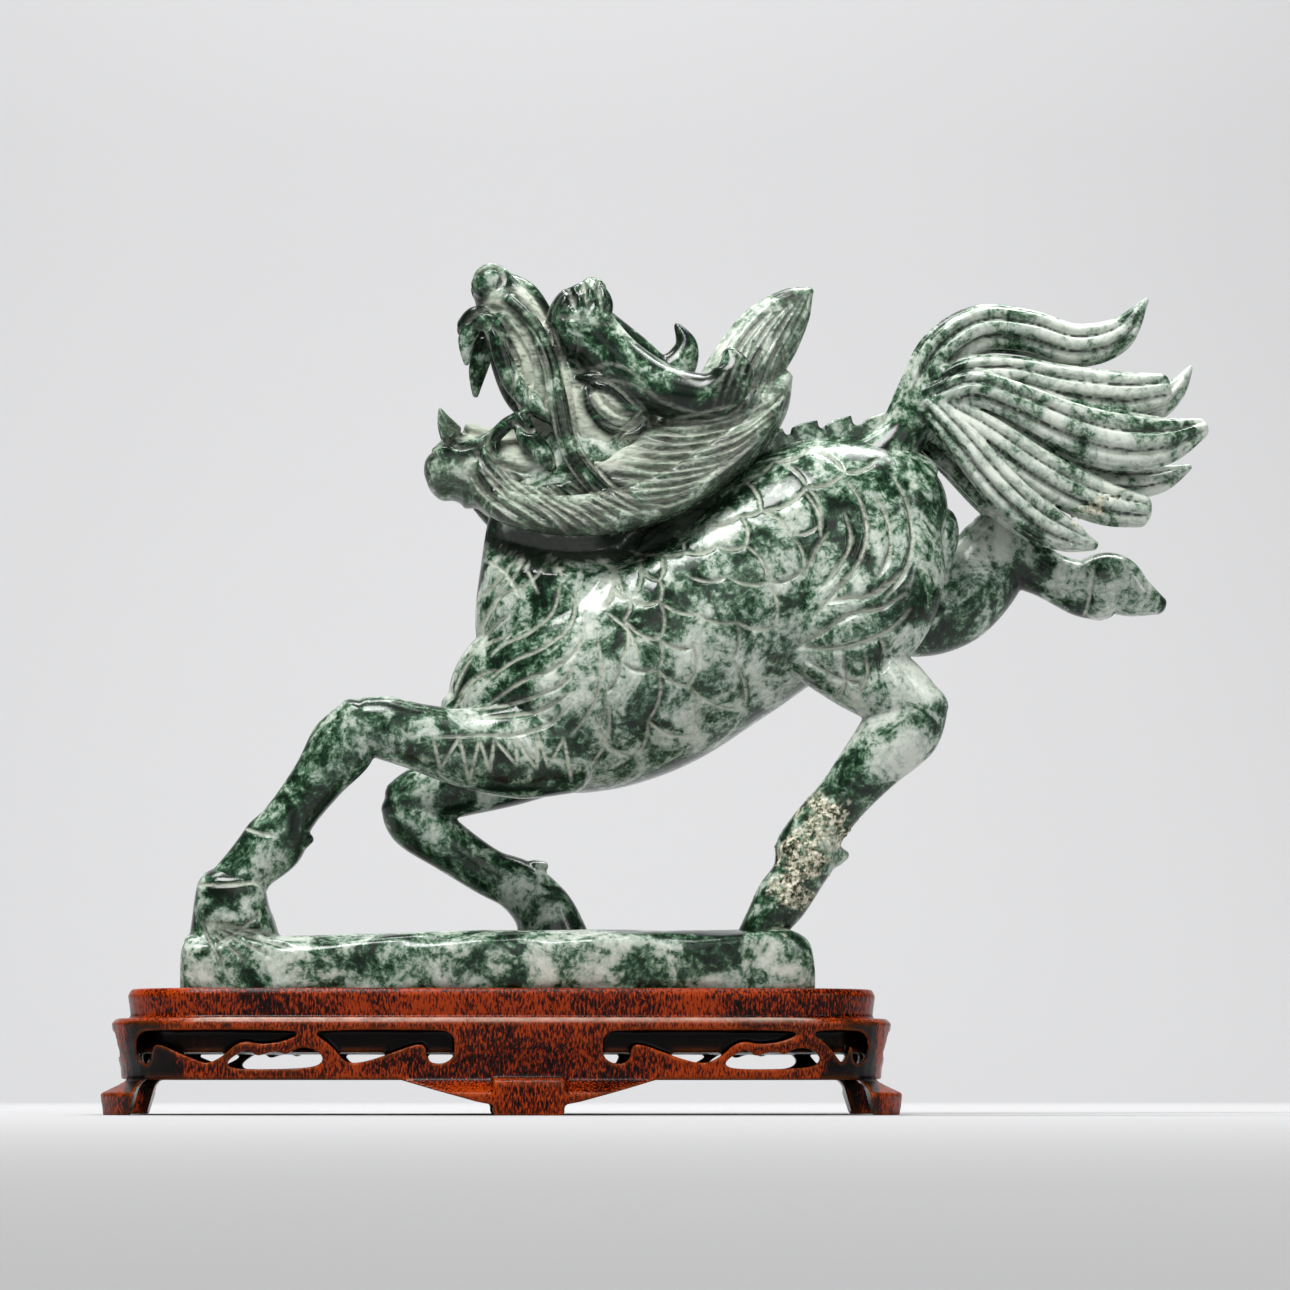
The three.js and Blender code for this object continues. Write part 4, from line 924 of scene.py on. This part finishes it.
def polishedSerpentine():
    # dark green with soft grey-white clouds and small dark flecks, waxed to a clear gloss
    v = stoneLook
    m = newMaterial("polishedSerpentine")
    where = addNode(m, "TexCoord", {}, "Object")
    powder, repair = attribute(m, "powder"), attribute(m, "repair")
    clouds = noise(m, where, 1000 / v["cloudSize"], 7, 0.62, 0.7)
    flecks = noise(m, where, 1000 / v["speckSize"], 5, 0.7, 0.4)
    lifted = calc(m, "MULTIPLY_ADD", attribute(m, "pale"), v["paleShare"], clouds)
    mixed = calc(m, "MULTIPLY_ADD", flecks, v["speckShare"], lifted)
    stone = tones(m, calc(m, "SUBTRACT", mixed, v["shift"]), v["tones"])
    # painted shade: hollows and the cut under the mane are darkened towards near black green
    hollow = spread(m, attribute(m, "crevice"), 0.1, 0.5)
    shadedHollows = blend(m, calc(m, "MULTIPLY", hollow, v["hollowShadeShare"]), stone, linear(v["hollowShade"]))
    # stone dust lies in streaks
    turned = {"Vector": where, "Rotation": (0, math.radians(v["streakTurn"]), 0), "Scale": v["streaks"]}
    patches = spread(m, noise(m, addNode(m, "Mapping", turned, "Vector"), 1, 5, 0.65), 0.25, 0.6)
    dust = calc(m, "MULTIPLY", calc(m, "MULTIPLY_ADD", hollow, v["hollowDust"], powder), patches)
    dustShare = calc(m, "MULTIPLY", dust, v["powderStrength"], clamp=True)
    dusty = blend(m, dustShare, shadedHollows, linear(v["powder"]))
    # repairs are grains of pale stone in glue
    grit = noise(m, where, v["gritScale"], 5, 0.75)
    gritShare = calc(m, "MULTIPLY", repair, spread(m, grit, 0.44, 0.54))
    colour = blend(m, gritShare, dusty, tones(m, grit, v["grit"]))
    dull = calc(m, "MAXIMUM", dustShare, repair)
    roughness = spread(m, dull, least=v["roughness"], most=v["dullRoughness"])
    bump = addNode(m, "Bump", {"Height": flecks, "Strength": 0.06, "Distance": 0.0003}, "Normal")
    return finishWith(m, Base_Color=colour, Roughness=roughness, Normal=bump, IOR=v["refraction"],
                      Specular_IOR_Level=v["gloss"])


woodLook = {
    "tones": [(0.71, "#060200"), (0.79, "#4f0f02"), (0.89, "#983406")], "worn": "#a8501c", "scuff": "#b9a595",
    "grainLength": 1.7, "grainWidth": 0.45, "blotchShare": 0.6, "paintedHollowShade": -0.25, "blotchScale": 55,
    "wornScale": 260, "roughness": 0.26, "gloss": 0.12,
}


def stainedHardwood():
    # close-grained wood under red-brown stain and shellac: dark pores, orange on edges, and painted shade
    # that turns hollows and the wood behind the pierced front near black
    v = woodLook
    m = newMaterial("stainedHardwood")
    where = addNode(m, "TexCoord", {}, "Object")
    across, along = 1000 / v["grainWidth"], 1000 / v["grainLength"]
    stretched = addNode(m, "Mapping", {"Vector": where, "Scale": (across, across, along)}, "Vector")
    grain = noise(m, stretched, 1, 3, 0.6, 0.4)
    tone = calc(m, "MULTIPLY_ADD", noise(m, where, v["blotchScale"], 4), v["blotchShare"], grain)
    # painted shade: hollows and the wood behind the pierced front are darkened
    shaded = calc(m, "MULTIPLY_ADD", attribute(m, "crevice"), v["paintedHollowShade"], tone)
    colour = tones(m, shaded, v["tones"])
    wornNoise = noise(m, where, v["wornScale"], 3)
    for wear in ("worn", "scuff"):
        share = calc(m, "MULTIPLY", attribute(m, wear), wornNoise, clamp=True)
        colour = blend(m, share, colour, linear(v[wear]))
    bump = addNode(m, "Bump", {"Height": grain, "Strength": 0.12, "Distance": 0.0002}, "Normal")
    return finishWith(m, Base_Color=colour, Normal=bump, Roughness=v["roughness"],
                      Specular_IOR_Level=v["gloss"])


# Stand
standForm = {
    "trayHalfLength": 91, "trayHalfDepth": 42, "cornerRadius": 22, "ledge": 4, "foot": 8.5, "ledgeTop": 23.3,
    "trayTop": 30.4, "recess": 3, "clearance": 0.8, "seatRadius": 5, "wall": 5, "deck": 3, "panel": 5.3,
    "panelGap": 1, "rail": 3.8, "waist": 2.4, "toeProud": 3.4, "toeHeight": 6, "cornerFoot": 5,
    "cornerFootDepth": 17, "cuspHalfWidth": 31, "cuspClear": 0.8, "middleShift": 6, "gapToCentre": 17.6,
    "slotInset": 7, "cloudMiddle": 59.5, "cloudShift": 5, "cloudHalf": 12, "innerHook": 7, "outerHook": 4.2,
    "postWidth": 4, "centreFootWidth": 17, "centreFootDepth": 8.5, "centreFootProud": 3.5,
    "centreFootSink": 0.4, "centreFootRound": 1.8, "voxel": 0.45, "mostTriangles": 196000,
}
halfLength = standForm["trayHalfLength"] + standForm["ledge"]
halfDepth = standForm["trayHalfDepth"] + standForm["ledge"]
outerRadius = standForm["cornerRadius"] + standForm["ledge"]
railTop = standForm["foot"] + standForm["rail"]
deckUnder = standForm["ledgeTop"] - standForm["deck"]


def putAtOrigin(piece):
    # the place and size go into the mesh, and its faces point outwards
    selectOnly(piece)
    bpy.ops.object.transform_apply(location=True, rotation=True, scale=True)
    bpy.ops.object.mode_set(mode="EDIT")
    bpy.ops.mesh.select_all(action="SELECT")
    bpy.ops.mesh.normals_make_consistent(inside=False)
    bpy.ops.object.mode_set(mode="OBJECT")
    return piece


def turnedBox(length, depth, radius, levels, middle=0.0):
    # a plane with round corners, drawn up through levels of a height and how far the wood stands out there
    # length and depth are half the plane's
    z, grow = levels[0]
    middleX = (standMiddleX + middle) / 1000
    bpy.ops.mesh.primitive_plane_add(size=1, location=(middleX, 0, z / 1000))
    block = bpy.context.object
    block.scale = (2 * (length + grow) / 1000, 2 * (depth + grow) / 1000, 1)
    bpy.ops.object.transform_apply(location=False, rotation=False, scale=True)
    bpy.ops.object.mode_set(mode="EDIT")
    bpy.ops.mesh.select_all(action="SELECT")
    bpy.ops.mesh.bevel(offset=(radius + grow) / 1000, segments=12, affect="VERTICES")
    bpy.ops.mesh.select_all(action="SELECT")
    for nextZ, nextGrow in levels[1:]:
        bpy.ops.mesh.extrude_region_move(TRANSFORM_OT_translate={"value": (0, 0, (nextZ - z) / 1000)})
        wider = ((length + nextGrow) / (length + grow), (depth + nextGrow) / (depth + grow), 1)
        bpy.ops.transform.resize(value=wider, center_override=(middleX, 0, nextZ / 1000))
        z, grow = nextZ, nextGrow
    bpy.ops.object.mode_set(mode="OBJECT")
    return putAtOrigin(block)


def throughCut(outline, along="y"):
    # outline points are (across, height), the cutter runs right through the stand
    reach = 300
    rings = [[Vector((a + standMiddleX, depth, z) if along == "y" else (depth, a, z)) / 1000
              for a, z in outline] for depth in (reach, -reach)]
    return putAtOrigin(loft("cutter", rings))


def smoothOutline(points, rounds=2):
    # cuts each corner twice, as a file would
    for _ in range(rounds):
        points = [(a[0] + (b[0] - a[0]) * share, a[1] + (b[1] - a[1]) * share)
                  for a, b in zip(points, points[1:] + points[:1]) for share in (0.25, 0.75)]
    return points


def hookedEnd(end, inward, hook, slope):
    # the closed end of a slot, whose lower edge curls up into a hook
    return [(end + inward * inset, z) for inset, z in [
        (hook + slope, railTop + 0.2), (hook + 0.5 * slope, railTop + 2.7),
        (hook + 0.2 * slope, railTop + 4.4), (hook, railTop + 4.6), (hook - 0.4, railTop + 0.5),
        (0.5 * hook, railTop - 0.2), (0.8, railTop + 0.9),
        (0, railTop + 3), (0.2, deckUnder - 2), (1.4, deckUnder - 0.5), (3.6, deckUnder)]]


# the slots' outlines on either side of the cloud, as (across from its middle, height)
leftOfCloud = [
    (5, deckUnder), (5.6, deckUnder - 1.2), (4, deckUnder - 2), (0.8, deckUnder - 3), (-3.7, deckUnder - 3.4),
    (-7, deckUnder - 2.6), (-9.6, deckUnder - 3.6), (-12, railTop + 2), (-15.3, railTop + 0.2),
]
rightOfCloud = [
    (10.5, deckUnder), (9.6, deckUnder - 1.2), (12, deckUnder - 2.6), (14.6, railTop + 3),
    (16.6, railTop + 0.2),
]
# the closed hole in it, as (share of its half width, height above the rail)
cloudHole = [
    (-1, -0.4), (-0.85, 1.6), (-0.6, 3.2), (-0.45, 3), (-0.36, 1.6), (-0.1, 2.8), (0.12, 2.8), (0.22, 1.9),
    (0.42, 3.7), (0.75, 3.7), (0.98, 1.6), (0.9, -0.4), (0.5, -1.2), (-0.7, -1.4),
]


def standCutters():
    v = standForm
    cutters = [turnedBox(halfLength - v["wall"], halfDepth - v["wall"], outerRadius - v["wall"],
                         [(-2, -v["waist"]), (v["foot"], -v["waist"]), (deckUnder, 0)])]
    for side in (-1, 1):
        cloud = side * v["cloudMiddle"] + v["cloudShift"]
        inner = v["middleShift"] + side * v["gapToCentre"]
        outer = side * (halfLength - v["slotInset"])
        if side < 0:
            left = hookedEnd(outer, 1, v["outerHook"], 12)
            right = hookedEnd(inner, -1, v["innerHook"], 15)
        else:
            left = hookedEnd(inner, 1, v["innerHook"], 15)
            right = hookedEnd(outer, -1, v["outerHook"], 2)
        hole = [(cloud + share * v["cloudHalf"], railTop + up) for share, up in cloudHole]
        for outline in (left + [(cloud + dx, z) for dx, z in leftOfCloud],
                        right + [(cloud + dx, z) for dx, z in rightOfCloud], hole):
            cutters.append(throughCut(smoothOutline(outline)))
        reach = halfDepth - v["cornerRadius"] - v["ledge"] + 6
        endSlot = [
            (v["postWidth"] / 2, railTop + 1), (v["postWidth"] / 2, deckUnder - 1.4), (4, deckUnder),
            (reach - 2, deckUnder), (reach, deckUnder - 2), (reach, railTop + 3), (reach - 3, railTop + 1.6),
            (reach / 2, railTop)]
        cutters.append(throughCut(smoothOutline([(side * y, z) for y, z in endSlot]), along="x"))
    reach = halfLength - v["cornerFoot"]
    # no two cuts end at the same height, because flush faces can leave the wood open
    under, endUnder = v["foot"] + 0.05, v["foot"] + 0.12
    cusp = [(v["middleShift"] + share * v["cuspHalfWidth"], high * under) for share, high in [
        (-1, 1), (-0.72, 0.7), (-0.4, 0.38), (0, v["cuspClear"] / v["foot"]), (0.4, 0.38), (0.72, 0.7),
        (1, 1)]]
    cutters.append(throughCut([(-reach, -2), (-reach + 2.6, v["foot"] - 1.5), (-reach + 4, under)] + cusp
                              + [(reach - 4, under), (reach - 2.6, v["foot"] - 1.5), (reach, -2)]))
    reach = halfDepth - v["cornerFootDepth"]
    cutters.append(throughCut([(-reach, -2.3), (-reach, v["foot"] - 1.4), (-reach + 2, endUnder),
                               (reach - 2, endUnder), (reach, v["foot"] - 1.4), (reach, -2.3)], along="x"))
    return cutters


def booleanWith(piece, other, operation):
    applyModifier(piece, "BOOLEAN", object=other, operation=operation, solver="EXACT")
    bpy.data.objects.remove(other, do_unlink=True)


def middleFoot(side):
    # a block whose outer top edge is rounded over
    v = standForm
    depth, height = v["centreFootDepth"], v["foot"] + v["centreFootSink"]
    y = side * (halfDepth + v["centreFootProud"] - depth / 2)
    x = standMiddleX + v["middleShift"]
    bpy.ops.mesh.primitive_cube_add(size=1, location=(x / 1000, y / 1000, height / 2000))
    foot = bpy.context.object
    foot.scale = (v["centreFootWidth"] / 1000, depth / 1000, height / 1000)
    bpy.ops.object.transform_apply(location=False, rotation=False, scale=True)
    bpy.ops.object.mode_set(mode="EDIT")
    bpy.ops.mesh.select_all(action="DESELECT")
    bpy.ops.object.mode_set(mode="OBJECT")
    for edge in foot.data.edges:
        ends = [foot.data.vertices[i].co for i in edge.vertices]
        edge.select = all(end.z > 0 and end.y * side > 0 for end in ends)
    bpy.ops.object.mode_set(mode="EDIT")
    bpy.ops.mesh.select_mode(type="EDGE")
    bpy.ops.mesh.bevel(offset=v["centreFootRound"] / 1000, segments=5)
    bpy.ops.mesh.select_mode(type="VERT")
    bpy.ops.object.mode_set(mode="OBJECT")
    return putAtOrigin(foot)


def shapeStand():
    v = standForm
    ledgeTop, trayTop = v["ledgeTop"], v["trayTop"]
    apron = turnedBox(halfLength, halfDepth, outerRadius, [
        (0, v["toeProud"] - 0.6), (v["toeHeight"] - 0.8, v["toeProud"]),
        (v["toeHeight"], v["toeProud"] - 1.4), (v["foot"], -v["waist"]), (v["foot"] + 3, -2.2),
        (ledgeTop - 6, -0.6), (ledgeTop - 1.2, 0), (ledgeTop, -1)])
    for cutter in standCutters():
        booleanWith(apron, cutter, "DIFFERENCE")
    inset = v["wall"] + v["panelGap"]
    panel = turnedBox(halfLength - inset, halfDepth - inset, outerRadius - inset, [
        (deckUnder - v["panel"], 0), (ledgeTop - v["deck"] / 2, 0)])
    booleanWith(apron, panel, "UNION")
    step = turnedBox(v["trayHalfLength"], v["trayHalfDepth"], v["cornerRadius"], [
        (ledgeTop - 1, -0.8), (ledgeTop + 1, -0.6), (trayTop - 1.6, 0), (trayTop, -0.8)])
    booleanWith(apron, step, "UNION")
    seatLength, seatDepth = (rockForm[half] + v["clearance"] for half in ("halfLength", "halfDepth"))
    seat = turnedBox(seatLength, seatDepth, v["seatRadius"], [
        (trayTop - v["recess"], 0), (trayTop + 2, 0)], middle=rockForm["middle"])
    booleanWith(apron, seat, "DIFFERENCE")
    for side in (-1, 1):
        booleanWith(apron, middleFoot(side), "UNION")
    apron.name = "standWood"
    apron.data.name = "standWood"
    return apron


def writeWoodFacts(wood):
    ledgeTop = standForm["ledgeTop"]
    points, normals = surfaceOf(wood)
    bend = bendOf(wood, points, normals)
    fromSide = np.abs(points * 1000 - (standMiddleX, 0, 0))
    z = points[:, 2] * 1000
    # painted shade: the wood behind the pierced front is darkened almost to black, for the shadow there and a
    # darker stain
    behind = np.minimum(halfLength - fromSide[:, 0], halfDepth - fromSide[:, 1])
    hidden = ramp(behind, 4, 2) * (z < ledgeTop - 1)
    writeAttribute(wood, "crevice", np.maximum(np.clip(bend * 5, -1, 1), 1.4 * hidden))
    # rounded edges face outwards, so their neighbours lie behind them
    edge = np.clip(-bend * 6, 0, 1)
    writeAttribute(wood, "worn", edge * np.clip((ledgeTop + 1 - z) / 2, 0.25, 1) * 1.5)
    # a pale line of rubbed dust along the rim of the ledge
    ledgeLine = np.exp(-((z - ledgeTop) / 0.8) ** 2) * np.clip((2.2 - behind) / 1.2, 0, 1)
    writeAttribute(wood, "scuff", np.clip(1.3 * ledgeLine, 0, 1))


def makeStand():
    wood = shapeStand()
    melt(wood, standForm["voxel"])
    thinOut(wood, standForm["mostTriangles"])
    writeWoodFacts(wood)
    return wood


# Build: every piece rides on the one body, replaces its CAD node and names its material slot
def settle(piece, node, material):
    piece.data.materials.clear()
    piece.data.materials.append(material)
    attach(piece, "root")
    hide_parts(node)


serpentine = polishedSerpentine()
for stonePiece in (makeBody(), makeRock(), makeHead(), makeTail()):
    settle(stonePiece, "carving", serpentine)
settle(makeStand(), "stand", stainedHardwood())

# Floor, backdrop, light and camera, in metres
studio = {
    "floor": "#9e9e9f", "room": "#e4e4e6", "roomLight": 0.1, "halfWidth": 3.0, "front": -2.0,
    "bendStart": 1.2, "bendRadius": 0.6, "top": 3.0, "cameraBack": 1.2, "cameraX": -0.052, "cameraZ": 0.006,
    "aimX": -0.0042, "aimZ": 0.1168, "frameWidth": 0.3225, "nearest": 0.05,
}
# soft lights as place, aim, size and power
lamps = {
    "keyLight": ((-0.32, -0.52, 1.25), (0, 0, 0.12), (0.62, 0.48), 24),
    "frontFill": ((0.3, -1.4, 0.6), (0, 0, 0.1), (1.0, 0.8), 4),
    "topLight": ((0.25, 0.3, 1.3), (0, 0, 0.1), (0.6, 0.5), 9),
    "sideStrip": ((1.0, -0.8, 0.6), (0, 0, 0.1), (0.15, 0.7), 4),
    "paperLight": ((0, 0.5, 1.5), (0, 1.6, 0.5), (1.6, 0.5), 50),
}


def makeFloor():
    v = studio
    profile = [(v["front"], 0.0), (v["bendStart"], 0.0)]
    for k in range(1, 13):
        turn = math.pi / 2 * k / 12
        profile.append((v["bendStart"] + v["bendRadius"] * math.sin(turn),
                        v["bendRadius"] * (1 - math.cos(turn))))
    profile.append((v["bendStart"] + v["bendRadius"], v["top"]))
    points = [(x, y, z) for x in (-v["halfWidth"], v["halfWidth"]) for y, z in profile]
    n = len(profile)
    floor = meshPiece("paperSweep", points, [(k, k + n, k + n + 1, k + 1) for k in range(n - 1)])
    paper = finishWith(newMaterial("plainPaper"), Base_Color=linear(v["floor"]), Roughness=0.9)
    floor.data.materials.append(paper)
    selectOnly(floor)
    bpy.ops.object.shade_smooth()


def aimed(name, data, at, aim):
    # a light or the camera, put in its place and turned to what it looks at
    thing = bpy.data.objects.new(name, data)
    bpy.context.collection.objects.link(thing)
    thing.location = at
    thing.rotation_euler = (Vector(aim) - Vector(at)).to_track_quat("-Z", "Y").to_euler()
    return thing


def lightRoom():
    for name, (at, aim, size, power) in lamps.items():
        data = bpy.data.lights.new(name, "AREA")
        data.shape = "RECTANGLE"
        data.size, data.size_y = size
        data.energy = power
        aimed(name, data, at, aim)
    world = bpy.data.worlds.new("paleRoom")
    world.use_nodes = True
    background = world.node_tree.nodes["Background"]
    background.inputs["Color"].default_value = linear(studio["room"])
    background.inputs["Strength"].default_value = studio["roomLight"]
    bpy.context.scene.world = world
    bpy.context.scene.view_settings.view_transform = "Standard"


def makeCamera():
    v = studio
    at = Vector((v["cameraX"], -v["cameraBack"], v["cameraZ"]))
    aim = Vector((v["aimX"], 0, v["aimZ"]))
    data = bpy.data.cameras.new("camera")
    data.sensor_width = 36
    data.lens = data.sensor_width * (aim - at).length / v["frameWidth"]
    data.clip_start = v["nearest"]
    bpy.context.scene.camera = aimed("camera", data, at, aim)


makeFloor()
lightRoom()
makeCamera()
